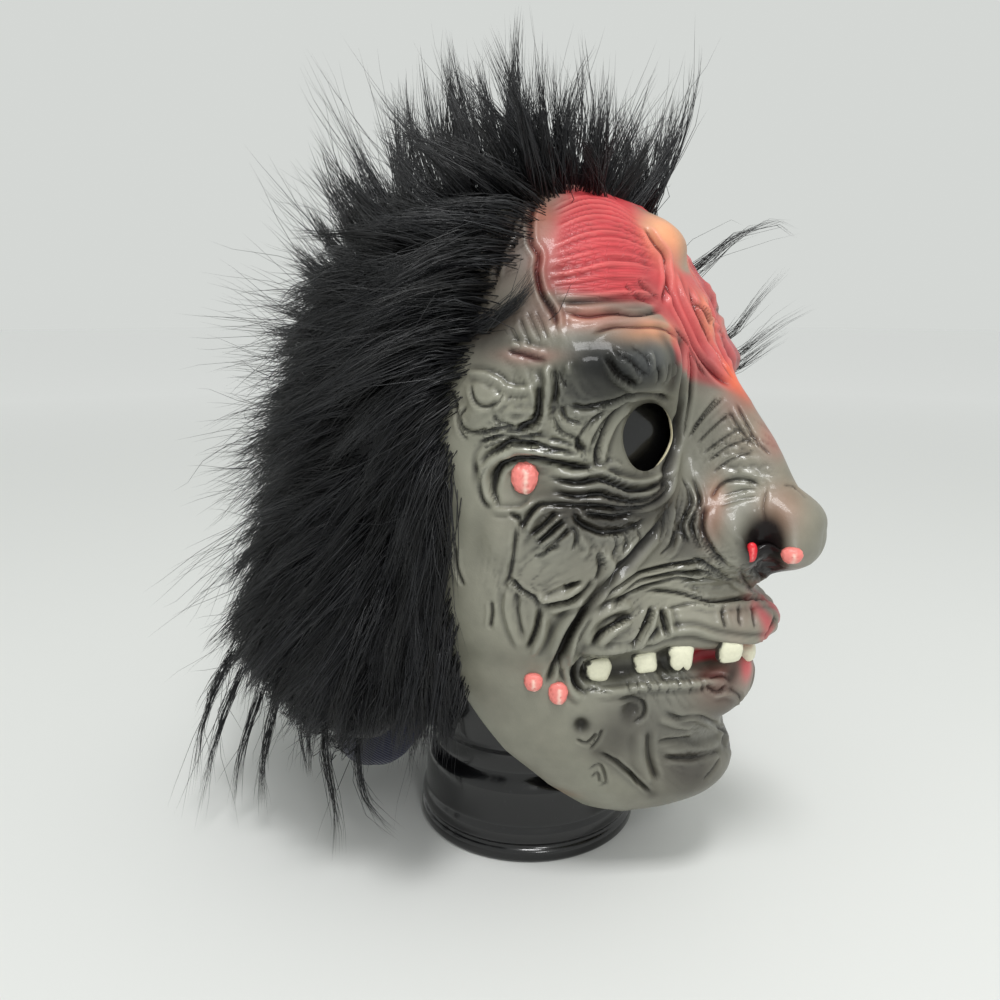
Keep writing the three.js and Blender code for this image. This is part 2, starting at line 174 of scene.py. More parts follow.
# across, up, width, height, how far out
SWELLINGS = {
    "muzzle": (0, 97, 32, 32, 23),
    "upper lip": (0, 116, 29, 12, 16),
    "lower lip": (0, 80, 27, 9, 4.5),
    "mouth": (0, 102, 50, 5.5, -9),
    "chin": (0, 45, 25, 15, 13),
    "nose wing": (16, 148, 8, 11, 20),
    "nose root strip": (0, 225, 13, 26, 4),
    "forehead lump": (0, 260, 9.5, 9, 8),
    "knot over the nose": (0, 238, 13, 10, 4),
    "forehead bulge": (33, 250, 23, 22, 3),
    "brow": (44, 214, 18, 11, 8),
    "inner eye corner": (19, 190, 6, 18, -5),
    "eye socket": (37, 188, 17, 14, -5),
    "eye bag": (43, 166, 20, 8, 3),
    "cheekbone": (58, 150, 20, 22, 3),
    "cheek fold": (52, 122, 10, 20, 3),
    "jowl": (46, 72, 22, 16, 2),
}


def smooth_between(a, b, c, d, t):
    """A smooth curve from b to c, at t from 0 to 1, that takes its direction from a and d beside them."""
    return b + 0.5 * t * (c - a + t * (2 * a - 5 * b + 4 * c - d + t * (3 * (b - c) + d - a)))


def read_levels(levels, column, z):
    """A column of a table of levels at any height, along a smooth curve."""
    table = np.array(levels, float)[::-1]
    heights, values = table[:, 0], table[:, column]
    z = np.clip(z, heights[0], heights[-1])
    i = np.clip(np.searchsorted(heights, z, side="right") - 1, 0, len(heights) - 2)
    t = (z - heights[i]) / (heights[i + 1] - heights[i])
    last = len(heights) - 1
    return smooth_between(*(values[np.clip(i + k, 0, last)] for k in (-1, 0, 1, 2)), t)


def stand_out(x, z):
    """How far the sculpted face stands out of the bare oval."""
    out = np.zeros_like(x)
    for across, up, wide, high, far in SWELLINGS.values():
        side = x if across == 0 else np.abs(x) - across
        out += far * np.exp(-((side / wide) ** 2) - ((z - up) / high) ** 2)
    ridge = np.maximum(read_levels(NOSE_LEVELS, 1, z), 0)
    width = read_levels(NOSE_LEVELS, 2, z)
    return out + ridge * np.exp(-((np.abs(x) / width) ** NOSE_ROUNDNESS))


def face_point(turn, z):
    """Points of the bare face in mm, for a turn from -90 degrees at the right edge to 90 at the left."""
    half, front, side = (read_levels(FACE_LEVELS, k, z) for k in (1, 2, 3))
    x = half * np.sin(turn)
    away = np.stack([SIDE_PUSH * np.sin(turn), -np.cos(turn), np.zeros_like(turn)], -1)
    away /= norm(away, axis=-1, keepdims=True)
    bare = np.stack([x, side - (side - front) * np.cos(turn), z + np.zeros_like(x)], -1)
    return bare + away * stand_out(x, z)[..., None]


print("tip of the nose:", face_point(np.zeros(1), np.full(1, 153.0)).round(1).tolist())

# %% [markdown]
# ## An even sheet
# A sculptor's mesh has points the same distance apart all over, so wrinkles come out equally fine on a cheek
# and on the side of the nose. The columns are spread by arc length at each height, closer together on the
# mask's right half, and the rows by how long the steps between them are.

# %% Spread the rows and columns
RIGHT_STEP, LEFT_STEP, ROW_STEP = 0.8, 2.6, 1.05
FINE_UP_TO = 14
SAMPLES = 900


def blur(values, sigma, axis=0):
    """A gaussian blur along one axis, with the ends held."""
    reach = max(int(3 * sigma), 1)
    kernel = np.exp(-0.5 * (np.arange(-reach, reach + 1) / sigma) ** 2)
    kernel /= kernel.sum()
    padding = [(0, 0)] * values.ndim
    padding[axis] = (reach, reach)
    padded = np.pad(values, padding, mode="edge")
    result = np.zeros_like(values, dtype=float)
    for k, weight in enumerate(kernel):
        result += weight * np.take(padded, np.arange(k, k + values.shape[axis]), axis)
    return result


def blur_both(values, sigma):
    """The same blur along both axes."""
    return blur(blur(values, sigma, 0), sigma, 1)


turns = np.linspace(-math.pi / 2, math.pi / 2, SAMPLES)
heights = np.linspace(FACE_TOP, FACE_BOTTOM, SAMPLES)
trial = face_point(turns[None, :] + np.zeros((SAMPLES, 1)), heights[:, None] + np.zeros((1, SAMPLES)))

down_steps = norm(np.diff(trial, axis=0), axis=2)
row_lengths = blur(0.5 * down_steps.mean(1) + 0.5 * down_steps[:, SAMPLES // 4 : -SAMPLES // 4].max(1), 6)
row_sum = np.concatenate([[0], np.cumsum(row_lengths)])
ROWS = int(row_sum[-1] / ROW_STEP)
row_z = np.interp(np.linspace(0, row_sum[-1], ROWS + 1), row_sum, heights)

across_steps = norm(np.diff(trial, axis=1), axis=2)
middle_x = (trial[:, 1:, 0] + trial[:, :-1, 0]) / 2
weights = across_steps / np.where(middle_x < FINE_UP_TO, RIGHT_STEP, LEFT_STEP)
column_sum = np.concatenate([np.zeros((SAMPLES, 1)), np.cumsum(weights, axis=1)], axis=1)
COLUMNS = int(np.percentile(column_sum[:, -1], 80))
column_sum = blur(column_sum / column_sum[:, -1:], 22)
row_turns = np.array(
    [
        np.interp(np.linspace(0, 1, COLUMNS + 1), column_sum[np.argmin(abs(heights - z))], turns)
        for z in row_z
    ]
)
row_turns = blur(row_turns, 2)
bare = face_point(row_turns, row_z[:, None] + np.zeros_like(row_turns))
print("sheet of", ROWS, "rows and", COLUMNS, "columns,", ROWS * COLUMNS * 2, "triangles")


def sheet_normals(points):
    """Outward directions of a sheet of points."""
    across, down = np.gradient(points, axis=1), np.gradient(points, axis=0)
    normal = np.cross(down, across)
    return normal / np.maximum(norm(normal, axis=2, keepdims=True), 1e-9)


bare_normals = sheet_normals(bare)

# %% [markdown]
# ## Sculpting the wrinkles
# On the real mask every fold was pushed into clay with a loop tool, and the latex took its print. The same is
# done here in strokes. Each stroke is a line read off an enlarged view of the photograph, and a ray through
# each of its points finds the place on the bare face. Points of the sheet near the line are then raised or
# sunk, with a profile of one width and height that runs out at both ends. A sunk stroke gets small raised
# shoulders, as clay does.

# %% From the picture to the face
# two enlarged views of the picture: the point at their top left corner, and how much larger they are
UPPER, LOWER, VIEW_SCALE = (430, 180), (430, 420), 3.824


def tree_of(points):
    """A tree for casting rays onto a sheet of points, at every second point."""
    coarse = points[::2, ::2]
    down, across = coarse.shape[0] - 1, coarse.shape[1]
    quads = [(k, k + across, k + across + 1, k + 1) for k in range(down * across) if (k + 1) % across]
    return BVHTree.FromPolygons(coarse.reshape(-1, 3).tolist(), quads)


face_tree = tree_of(bare)


def on_face(px, py):
    """The place on the face in mm that a point of the picture shows."""
    ray = picture_ray(px, py)
    hit = face_tree.ray_cast(CAMERA_PLACE, ray)[0]
    if hit is None:
        tries = [face_tree.find_nearest(CAMERA_PLACE + ray * reach) for reach in range(240, 420, 4)]
        hit = min(tries, key=lambda found: found[3])[0]
    return np.array(hit)


def in_picture(view, x, y):
    """The point of the picture that a point of an enlarged view shows."""
    return view[0] + x / VIEW_SCALE, view[1] + y / VIEW_SCALE


def from_view(view, *numbers):
    """Places on the face for a run of x, y numbers read off an enlarged view."""
    return np.array([on_face(*in_picture(view, x, y)) for x, y in zip(numbers[::2], numbers[1::2])])


def smooth_line(points, steps=6):
    """More points on a smooth curve through a few."""
    padded = np.vstack([2 * points[0] - points[1], points, 2 * points[-1] - points[-2]])
    spans = range(1, len(padded) - 2)
    out = [smooth_between(*padded[k - 1 : k + 3], t) for k in spans for t in np.arange(steps) / steps]
    return np.array(out + [points[-1]])


def near_line(points, line):
    """Distance from each point to a line, and how far along it the nearest place is, from 0 to 1."""
    best, along = np.full(len(points), 1e9), np.zeros(len(points))
    lengths = norm(np.diff(line, axis=0), axis=1)
    start, total = 0.0, lengths.sum()
    for a, b, length in zip(line[:-1], line[1:], lengths):
        t = np.clip(((points - a) @ (b - a)) / max(length * length, 1e-9), 0, 1)
        distance = norm(points - (a + t[:, None] * (b - a)), axis=1)
        nearer = distance < best
        best[nearer] = distance[nearer]
        along[nearer] = ((start + t * length) / total)[nearer]
        start += length
    return best, along


print("centre of the right eye:", on_face(648, 437).round(1))

# %% [markdown]
# ## The strokes
# The lists go from the forehead down. Each stroke has its height in mm, sunk when negative, its width in mm,
# and the numbers read off the view. Lumps and hollows are round strokes with a centre, two radii in mm and a
# turn in degrees.

# %% Strokes of the upper face
UPPER_STROKES = [
    # forehead: the edge of the bulge, and the folds that fan out under it
    (-1.3, 1.2, 415,60, 388,130, 384,230, 415,290, 408,360, 430,440, 475,520, 490,600),
    (-1.0, 1.0, 408,330, 425,430, 470,490, 490,560), (0.8, 1.6, 440,430, 480,500, 500,570),
    (-1.4, 1.2, 500,500, 600,520, 700,508, 800,515, 890,500),
    (-1.8, 1.5, 812,172, 862,240, 902,300, 905,400, 890,480), (-0.7, 1.0, 740,395, 790,440, 850,475),
    (-0.7, 1.0, 790,380, 835,425, 880,455), (-0.5, 0.9, 340,520, 365,580, 385,640),
    (-0.4, 0.9, 370,500, 400,560, 425,620), (-0.35, 0.9, 300,560, 330,610, 350,650),
    (-0.4, 0.8, 405,500, 430,550, 450,610), (-0.8, 1.2, 290,650, 360,668, 450,692),
    (1.1, 1.5, 300,625, 370,645, 440,668), (-1.3, 1.3, 250,400, 262,300, 300,200, 345,120),
    # the flayed strip down the nose
    (-2.2, 1.5, 905,320, 922,430, 962,530, 1012,640, 1090,740, 1165,800),
    (1.6, 1.7, 935,340, 965,440, 1010,540, 1060,640, 1120,730),
    (-1.3, 1.1, 985,400, 1020,500, 1062,590, 1110,690, 1165,770), (-1.1, 1.0, 1010,470, 1050,500, 1075,560),
    (1.2, 1.4, 1030,430, 1070,520, 1110,620, 1150,720), (-1.0, 0.9, 1080,450, 1095,540, 1130,620),
    (-0.9, 0.8, 930,560, 980,620, 1020,700, 1060,760),
    # brow: wrinkles on the bulge over the eye
    (-2.2, 1.2, 672,668, 692,702, 720,743, 761,770, 795,794), (1.5, 1.1, 664,700, 698,755, 750,792, 795,806),
    (-0.8, 0.9, 699,648, 754,682, 808,729, 849,757), (-0.7, 0.9, 765,637, 808,662, 852,712),
    (1.3, 1.3, 727,688, 774,729, 808,777), (-0.8, 0.8, 781,690, 788,723, 795,765),
    (-2.4, 1.1, 873,716, 880,743, 873,780), (1.3, 1.1, 843,654, 853,695, 852,735),
    (-1.4, 0.9, 916,705, 911,743, 899,772), (1.2, 1.2, 934,700, 930,750), (1.2, 1.3, 524,705, 535,745),
    (-1.1, 1.0, 491,729, 501,764, 522,791), (-1.2, 1.2, 610,590, 700,560, 800,560, 900,570, 950,610),
    # the groove between brow and nose, and the edge of the lid
    (-3.4, 2.3, 962,600, 962,740, 945,880, 932,1000, 905,1110, 880,1200),
    (-1.4, 1.1, 990,640, 1000,760, 985,880, 965,1000),
    (-2.2, 1.2, 500,855, 600,872, 690,852, 770,826, 860,820, 920,850),
    (-1.4, 1.0, 640,1100, 640,1030, 662,960, 705,890, 775,838),
    (1.6, 1.5, 660,1110, 662,1050, 682,980, 722,910, 780,862),
    (-1.3, 0.9, 600,1085, 562,1010, 610,930, 690,868), (1.0, 1.0, 600,1050, 610,980, 660,905),
    (-1.1, 0.8, 620,1020, 650,945, 700,890),
    # temple: ridges round the small bumps
    (1.6, 1.4, 130,742, 200,745, 262,772, 300,800, 400,806), (1.4, 1.2, 292,806, 265,850, 248,892),
    (-2.6, 1.5, 412,780, 422,850, 402,915, 330,948), (2.0, 1.7, 442,700, 452,780, 438,860, 446,930),
    (-1.3, 1.1, 470,720, 482,800, 470,860), (-1.4, 1.0, 152,780, 165,838, 205,866, 262,850, 282,810),
    (-1.2, 0.9, 110,912, 128,950, 175,965, 222,945), (-1.0, 0.8, 140,870, 115,900, 120,940),
    (-1.1, 0.9, 240,900, 262,925, 330,945), (-1.2, 1.1, 320,950, 380,935, 430,930),
    (-1.4, 1.0, 500,860, 520,910, 580,930), (-1.0, 0.9, 470,900, 500,960, 560,990, 600,1060),
    (1.1, 1.2, 455,960, 520,985, 570,1020),
    # fine bands over the wart, and the folds that arch over it
    (-1.2, 0.8, 180,978, 260,952, 335,962, 432,940), (-1.2, 0.8, 178,1003, 280,977, 350,982, 442,966),
    (-1.1, 0.8, 200,1024, 300,992, 360,1000, 425,1002), (1.1, 0.9, 185,990, 275,965, 345,972, 435,953),
    (1.1, 0.9, 190,1014, 290,986, 360,990, 430,986),
    (-2.0, 1.1, 228,1052, 290,1012, 350,1004, 470,1030, 585,1045),
    (2.6, 1.9, 192,1190, 202,1115, 242,1062, 330,1030, 450,1042, 560,1056, 640,1082),
    (-2.0, 1.2, 250,1210, 262,1125, 300,1080, 400,1066, 520,1085, 640,1112),
    (1.4, 1.2, 440,1010, 520,1020, 600,1060), (-0.9, 0.8, 62,780, 98,850, 110,950, 150,1000),
    # fine creases on the side of the nose
    (-1.0, 0.7, 985,990, 1050,905, 1125,832), (-1.0, 0.7, 1000,960, 1050,890, 1100,830),
    (-0.9, 0.7, 1020,1010, 1080,950, 1150,890), (-0.9, 0.7, 1040,1050, 1120,990, 1190,950),
    (-0.9, 0.7, 1060,1080, 1140,1020, 1230,990), (-0.9, 0.7, 1080,1120, 1150,1070, 1240,1040),
    (-0.8, 0.7, 1170,850, 1210,930, 1250,1000, 1310,1060), (-0.8, 0.7, 1140,880, 1190,960, 1240,1020),
]  # fmt: skip

# %% Strokes of the lower face
LOWER_STROKES = [
    # bags under the eye
    (2.2, 1.7, 440,190, 540,214, 640,198, 720,228, 800,243, 880,222, 922,168),
    (-1.9, 1.1, 436,214, 560,236, 655,224, 755,262, 850,254, 912,205),
    (1.7, 1.5, 450,242, 560,262, 660,250, 755,288, 845,282, 915,232),
    (-1.9, 1.1, 460,272, 560,290, 650,280, 705,302, 800,310, 880,270, 932,200),
    (1.3, 1.2, 450,292, 550,308, 650,303, 740,322, 820,318),
    (-1.7, 1.1, 438,312, 540,322, 640,332, 740,334, 822,330, 900,282, 942,190),
    (-1.9, 1.3, 540,335, 572,392, 640,425, 700,430, 780,410, 832,370),
    (1.4, 1.4, 560,345, 620,385, 700,392, 790,370), (-1.3, 1.0, 570,352, 640,365, 720,365, 800,350),
    (-1.0, 0.8, 700,440, 715,480, 700,520), (-1.0, 0.8, 740,430, 755,470, 735,510),
    (-0.9, 0.8, 790,415, 800,455, 775,490), (1.2, 1.1, 640,200, 700,170, 740,190),
    # round the big wart
    (2.0, 1.6, 330,128, 258,150, 214,200, 214,275, 246,335), (-0.9, 1.1, 290,148, 250,200, 244,270, 268,335),
    (1.6, 1.4, 200,205, 188,150, 232,100, 300,80), (-0.7, 0.9, 225,170, 195,230, 200,300, 235,345),
    (1.3, 1.2, 232,345, 300,350, 350,345, 400,310), (-1.4, 1.1, 300,350, 340,375, 350,410),
    # knuckle wrinkles on the cheek
    (-1.7, 1.0, 388,442, 440,398, 482,350), (-1.7, 1.0, 408,474, 465,425, 512,385),
    (-1.6, 1.0, 430,502, 500,452, 532,408), (-1.3, 0.9, 400,528, 440,505, 500,480),
    (1.6, 1.2, 395,460, 450,412, 500,368), (1.6, 1.2, 418,490, 478,440, 524,398),
    (1.2, 1.0, 400,512, 450,490, 520,440), (-1.5, 1.0, 350,422, 378,365, 425,322, 520,330),
    (1.5, 1.3, 368,432, 395,378, 440,340), (-1.3, 1.0, 330,400, 322,500, 300,600, 278,645),
    (-1.2, 0.9, 95,478, 100,560, 130,640), (-1.2, 0.9, 545,400, 560,450, 545,500),
    (1.2, 1.1, 570,440, 600,500, 570,530),
    # folds of the cheek round the forked crease
    (-1.9, 1.1, 300,600, 350,650, 400,682, 422,712), (-2.0, 1.2, 422,712, 480,700, 540,690, 600,645, 622,600),
    (-1.6, 1.2, 422,712, 408,790, 372,880), (1.9, 1.8, 398,660, 440,690, 520,672, 585,632),
    (1.6, 1.6, 450,735, 520,715, 590,690), (1.5, 1.5, 440,745, 428,830, 385,905),
    (2.4, 2.1, 642,470, 672,520, 688,570, 655,645, 590,712, 520,790, 488,870, 460,950),
    (-1.2, 0.9, 640,500, 655,560, 630,620), (-1.3, 0.9, 515,640, 540,628, 575,618),
    (-1.2, 1.0, 234,690, 236,740, 228,800), (1.1, 1.5, 300,640, 292,720, 310,800, 350,880),
    (-0.9, 1.0, 330,650, 335,740, 355,830),
    # the long fold from the nose to the jaw
    (-3.2, 2.4, 905,330, 880,400, 820,470, 760,540, 690,606, 610,700, 545,795, 490,900, 450,1000),
    (-2.4, 1.4, 600,712, 548,785, 505,870, 478,935, 440,1020),
    (2.0, 1.8, 700,640, 640,700, 590,770, 555,850, 530,930), (-1.3, 1.0, 620,745, 575,825, 550,905),
    # ripples beside the nose
    (-1.3, 0.9, 905,340, 895,410, 872,470), (1.4, 1.1, 930,330, 925,410, 900,480),
    (-1.3, 0.9, 962,210, 1000,300, 962,400, 990,480), (1.4, 1.1, 990,250, 1015,330, 978,400, 1000,470),
    (-1.2, 0.9, 1000,210, 1032,300, 1000,400, 1040,500), (-1.0, 0.8, 940,420, 920,480, 880,520),
    (1.2, 1.0, 960,440, 940,500, 900,540), (-1.8, 1.3, 1052,320, 1040,420, 1090,515, 1150,565),
    (-1.2, 1.0, 1070,300, 1120,240, 1200,225, 1265,250), (-0.4, 0.8, 1105,330, 1180,305, 1255,290),
    (-0.5, 0.7, 1120,290, 1180,270, 1250,262), (-0.5, 0.9, 1290,260, 1275,330, 1285,400),
    (-0.8, 0.8, 1350,250, 1400,262, 1440,300), (1.3, 1.2, 1180,440, 1205,500, 1215,560),
    # creased skin under the nostril
    (-1.6, 0.9, 1000,520, 1080,565, 1155,602), (-1.4, 0.9, 1030,560, 1100,590, 1165,610),
    (-1.5, 1.0, 1230,560, 1278,620, 1290,680), (-1.2, 0.9, 1180,560, 1200,610, 1240,660),
    (1.3, 1.0, 1010,540, 1090,580, 1160,600), (1.2, 1.0, 1140,610, 1190,650, 1270,670),
    # long creases of the upper lip
    (-1.4, 0.9, 1062,530, 980,545, 900,560, 782,592, 702,650, 640,722),
    (-1.4, 0.9, 1082,572, 1000,582, 920,590, 802,612, 722,670),
    (-1.4, 0.9, 1102,612, 960,602, 860,622, 762,660, 662,742),
    (1.4, 1.1, 1075,550, 960,565, 850,590, 745,640, 670,705),
    (1.3, 1.1, 1095,592, 980,592, 880,606, 780,636, 700,690),
    (-1.7, 1.0, 1322,692, 1200,682, 1080,692, 960,662, 860,652, 800,662),
    (1.3, 1.3, 1322,712, 1200,702, 1080,712, 960,690), (-0.9, 0.9, 900,722, 1010,702, 1100,720),
    (2.6, 2.0, 590,870, 622,775, 700,722, 785,712), (-1.5, 1.0, 612,872, 655,815, 720,775, 785,742),
    (2.2, 1.7, 640,872, 700,812, 772,765), (-2.0, 1.1, 762,872, 812,808, 838,755, 850,705),
    (2.4, 1.7, 790,862, 842,800, 865,712), (-2.0, 1.1, 906,832, 898,772, 888,718),
    (1.6, 1.6, 925,820, 915,760, 905,715), (-1.0, 1.1, 1122,702, 1120,750, 1132,800),
    (-0.9, 1.0, 1182,702, 1182,760, 1192,790), (-0.9, 1.0, 1232,702, 1236,750, 1242,802),
    (1.9, 1.6, 588,915, 622,888, 720,880, 775,868, 850,845, 920,815, 1010,805, 1100,832, 1230,842, 1310,815),
    (-1.2, 1.0, 1240,850, 1300,800, 1320,740),
    # corner of the mouth
    (-2.2, 1.2, 600,905, 555,935, 545,975, 562,1015, 602,1045),
    (1.8, 1.5, 560,900, 522,940, 520,990, 545,1045, 590,1075), (-1.2, 1.0, 490,900, 500,960, 520,1010),
    # lower lip
    (1.8, 1.6, 600,1045, 700,1042, 850,1020, 1000,1012, 1060,1000, 1150,1000),
    (-0.8, 0.7, 755,1000, 760,1045), (-0.8, 0.7, 790,1000, 800,1050), (-0.8, 0.7, 830,995, 838,1045),
    (-0.8, 0.7, 868,995, 875,1045), (-0.8, 0.7, 905,992, 910,1050), (-0.8, 0.7, 945,990, 950,1040),
    (-0.8, 0.7, 990,988, 1000,1045), (-0.9, 0.8, 1030,985, 1045,1045),
    (-1.2, 0.9, 1050,1010, 1100,1042, 1135,1012), (-1.0, 0.9, 1060,990, 1110,975, 1150,1000),
    (1.2, 1.2, 1075,1060, 1140,1050, 1190,1090), (-1.1, 1.0, 1140,1020, 1190,1060, 1200,1110),
    (-2.0, 1.2, 885,1108, 950,1140, 1050,1142, 1135,1192), (1.2, 1.4, 870,1140, 940,1170, 1010,1175),
    # chin
    (-1.4, 1.2, 868,1232, 930,1222, 1002,1216), (-1.5, 1.3, 880,1292, 1000,1292, 1112,1264),
    (1.2, 1.6, 880,1262, 1000,1255, 1110,1230), (-0.9, 1.0, 1040,1380, 1080,1340, 1110,1290),
    (-1.3, 1.6, 838,1190, 842,1290, 870,1390), (1.3, 2.2, 800,1180, 800,1290, 840,1400),
    # jaw
    (-1.2, 0.9, 556,1220, 600,1235, 642,1195), (-1.0, 0.8, 610,1262, 640,1225, 660,1180),
    (-1.7, 1.0, 640,1268, 700,1300, 762,1352, 850,1432), (-1.0, 0.8, 700,1285, 760,1340, 800,1400),
    (-0.8, 0.8, 600,1340, 650,1318, 672,1385, 640,1402), (-0.8, 0.8, 615,1370, 640,1350, 650,1390),
    (-1.3, 1.0, 715,1072, 760,1065, 812,1080, 815,1130, 770,1160), (-1.0, 0.9, 590,1060, 610,1030, 700,1050),
]  # fmt: skip

# %% Lumps and hollows
# view, height, centre, radii in mm, turn in degrees
ROUND_FORMS = {
    "bump on the temple": (UPPER, 2.6, 215, 808, 7, 7, 0),
    "long lump on the temple": (UPPER, 2.8, 325, 852, 13, 6, 32),
    "small bump under it": (UPPER, 1.8, 180, 905, 5, 5, 0),
    "lump behind the forehead": (UPPER, 3.2, 310, 235, 13, 24, 10),
    "muscle of the forehead": (UPPER, 3.5, 640, 270, 30, 27, 0),
    "peach lump": (UPPER, 3.0, 890, 235, 8, 14, 0),
    "knot on the strip": (UPPER, 3.0, 1060, 450, 9, 9, 0),
    "block of the brow": (UPPER, 4.2, 790, 680, 24, 15, 0),
    "left end of the brow": (UPPER, 2.2, 530, 730, 8, 12, 0),
    "edge of the brow": (UPPER, 1.8, 850, 560, 14, 5, 0),
    "lobe beside the lid": (UPPER, 1.6, 550, 930, 10, 9, 0),
    "socket of the big wart": (LOWER, -2.6, 362, 225, 8.6, 9.6, 0),
    "bump on the cheek": (LOWER, 2.4, 268, 452, 6, 9, 0),
    "ball of the cheek": (LOWER, 2.6, 520, 560, 19, 17, 0),
    "dark bag under the eye": (LOWER, -1.6, 660, 380, 15, 5, 0),
    "pit in the fold": (LOWER, -2.0, 545, 630, 3.4, 1.8, 20),
    "wing of the nose": (LOWER, 0.9, 1140, 400, 7, 8, 0),
    "nostril": (LOWER, -12.0, 1284, 478, 6.6, 9.4, 8),
    "ball of the nose": (LOWER, 0.9, 1430, 370, 12, 12, 0),
    "pouch of the lip": (LOWER, 2.2, 700, 850, 9, 7, 20),
    "hollow of the mouth corner": (LOWER, -3.4, 620, 965, 9, 6, 0),
    "gap between the teeth": (LOWER, -3.0, 740, 960, 6, 6, 0),
    "painted gap": (LOWER, -3.4, 1060, 900, 7, 4.5, 0),
    "second gap": (LOWER, -2.4, 890, 930, 4, 6, 0),
    "bump of the jaw": (LOWER, 2.6, 672, 1118, 11, 10, 0),
    "pit of the jaw": (LOWER, -3.2, 580, 1165, 2.8, 3.2, 0),
    "hollow of the jaw": (LOWER, -3.6, 772, 1108, 4.6, 5.2, 0),
    "boss of the chin": (LOWER, 2.8, 1000, 1350, 16, 13, 0),
    "fold beside the chin": (LOWER, 1.6, 770, 1240, 7, 16, 0),
    "fold of the jaw": (LOWER, 1.5, 400, 830, 14, 22, 0),
    "lump of the lower lip": (LOWER, 1.8, 1120, 1070, 11, 9, 0),
}

# %% [markdown]
# ## Big forms first, then the strokes
# A sculptor sets the lumps before any wrinkle, because the wrinkles run over them. The lumps are added to the
# bare sheet, the sheet gets new normals, and only then are the strokes cast onto it and cut in. The hidden
# left cheek gets the same strokes mirrored and a little weaker, with a slow drift, so the two halves aren't
# exact twins.

# %% Lay the lumps
rng = np.random.default_rng(1913)
FLATTER_ON_THE_LEFT = {"muscle of the forehead": 0.1, "peach lump": 0, "block of the brow": 0}
NOSE_WIDTH_LEFT_ALONE = 6
# the eye hole in points of the picture: middle, half width, half height, lean in degrees, narrowing downwards
EYE_ACROSS, EYE_DOWN, EYE_HALF_WIDTH, EYE_HALF_HEIGHT, EYE_LEAN, EYE_NARROWS = 647.5, 437, 25.0, 34.5, 9, 0.16
LUMP_FLATNESS, LUMP_DEPTH = 2.4, 2.2
LID_MARGIN = 0.45


def lump_height(points, normals, centre, far, wide, high, turn):
    """The height of one round form at every point."""
    nearest = np.argmin(norm(points - centre, axis=1))
    outward = normals[nearest]
    across = np.cross((0, 0, 1), outward)
    across /= norm(across)
    upward = np.cross(outward, across)
    c, s = math.cos(math.radians(turn)), math.sin(math.radians(turn))
    u, v, depth = (points - centre) @ across, (points - centre) @ upward, (points - centre) @ outward
    distance = np.hypot((u * c + v * s) / wide, (v * c - u * s) / high)
    return far * np.exp(-(distance**LUMP_FLATNESS)) * np.exp(-((depth / (LUMP_DEPTH * max(wide, high))) ** 4))


def eye_radius(points, side):
    """How far points lie from the middle of an eye hole, looked at as in the picture, with 1 at its edge."""
    seen = points * (-side, 1, 1) - np.array(CAMERA_PLACE)
    zoom = FOCAL / (seen @ np.array(look))
    u = PICTURE / 2 + zoom * (seen @ np.array(right)) - EYE_ACROSS
    v = PICTURE / 2 - zoom * (seen @ np.array(above)) - EYE_DOWN
    lean = math.radians(EYE_LEAN)
    up_axis = (u * math.sin(lean) - v * math.cos(lean)) / EYE_HALF_HEIGHT
    wide = EYE_HALF_WIDTH * (1 - EYE_NARROWS * np.maximum(-up_axis, 0))
    far_away = 9 * ((points[..., 1] > -30) | (points[..., 0] * side < 0))
    return np.hypot((u * math.cos(lean) + v * math.sin(lean)) / wide, up_axis) + far_away


lids = np.minimum(eye_radius(bare, -1), eye_radius(bare, 1))
flat, flat_normals = bare.reshape(-1, 3), bare_normals.reshape(-1, 3)
lumps = np.zeros(len(flat))
for name, (view, far, x, y, wide, high, turn) in ROUND_FORMS.items():
    centre = from_view(view, x, y)[0]
    lumps += lump_height(flat, flat_normals, centre, far, wide, high, turn)
    if centre[0] < -NOSE_WIDTH_LEFT_ALONE:
        twin_height = far * FLATTER_ON_THE_LEFT.get(name, 0.9)
        lumps += lump_height(flat, flat_normals, centre * (-1, 1, 1), twin_height, wide, high, -turn)
lumps = lumps.reshape(bare.shape[:2]) * np.clip((lids - 1) / LID_MARGIN, 0, 1)
lumpy = bare + bare_normals * lumps[..., None]
lumpy_normals = sheet_normals(blur_both(lumpy, 1.2))
face_tree = tree_of(lumpy)
print("lumps from", lumps.min().round(1), "to", lumps.max().round(1), "mm")


# %% Cut the strokes
SHOULDER_SHARE, SHOULDER_AT, SHOULDER_WIDTH = 0.42, 2.0, 0.85
END_SHARE = 0.16
CORE_POWER, NARROWER, FINEST_ON_THE_LEFT = 1.5, 0.82, 0.8
FLOW_REACH = 8.0
CREASE_REACH = 0.95
# the left half has weaker and wider strokes, which drift up and down along the face
LEFT_SHARE, LEFT_WIDER, LEAST_LEFT_WIDTH = 0.7, 1.3, 1.7
LEFT_DRIFT, DRIFT_LENGTH = (0, 0, 2.2), 9


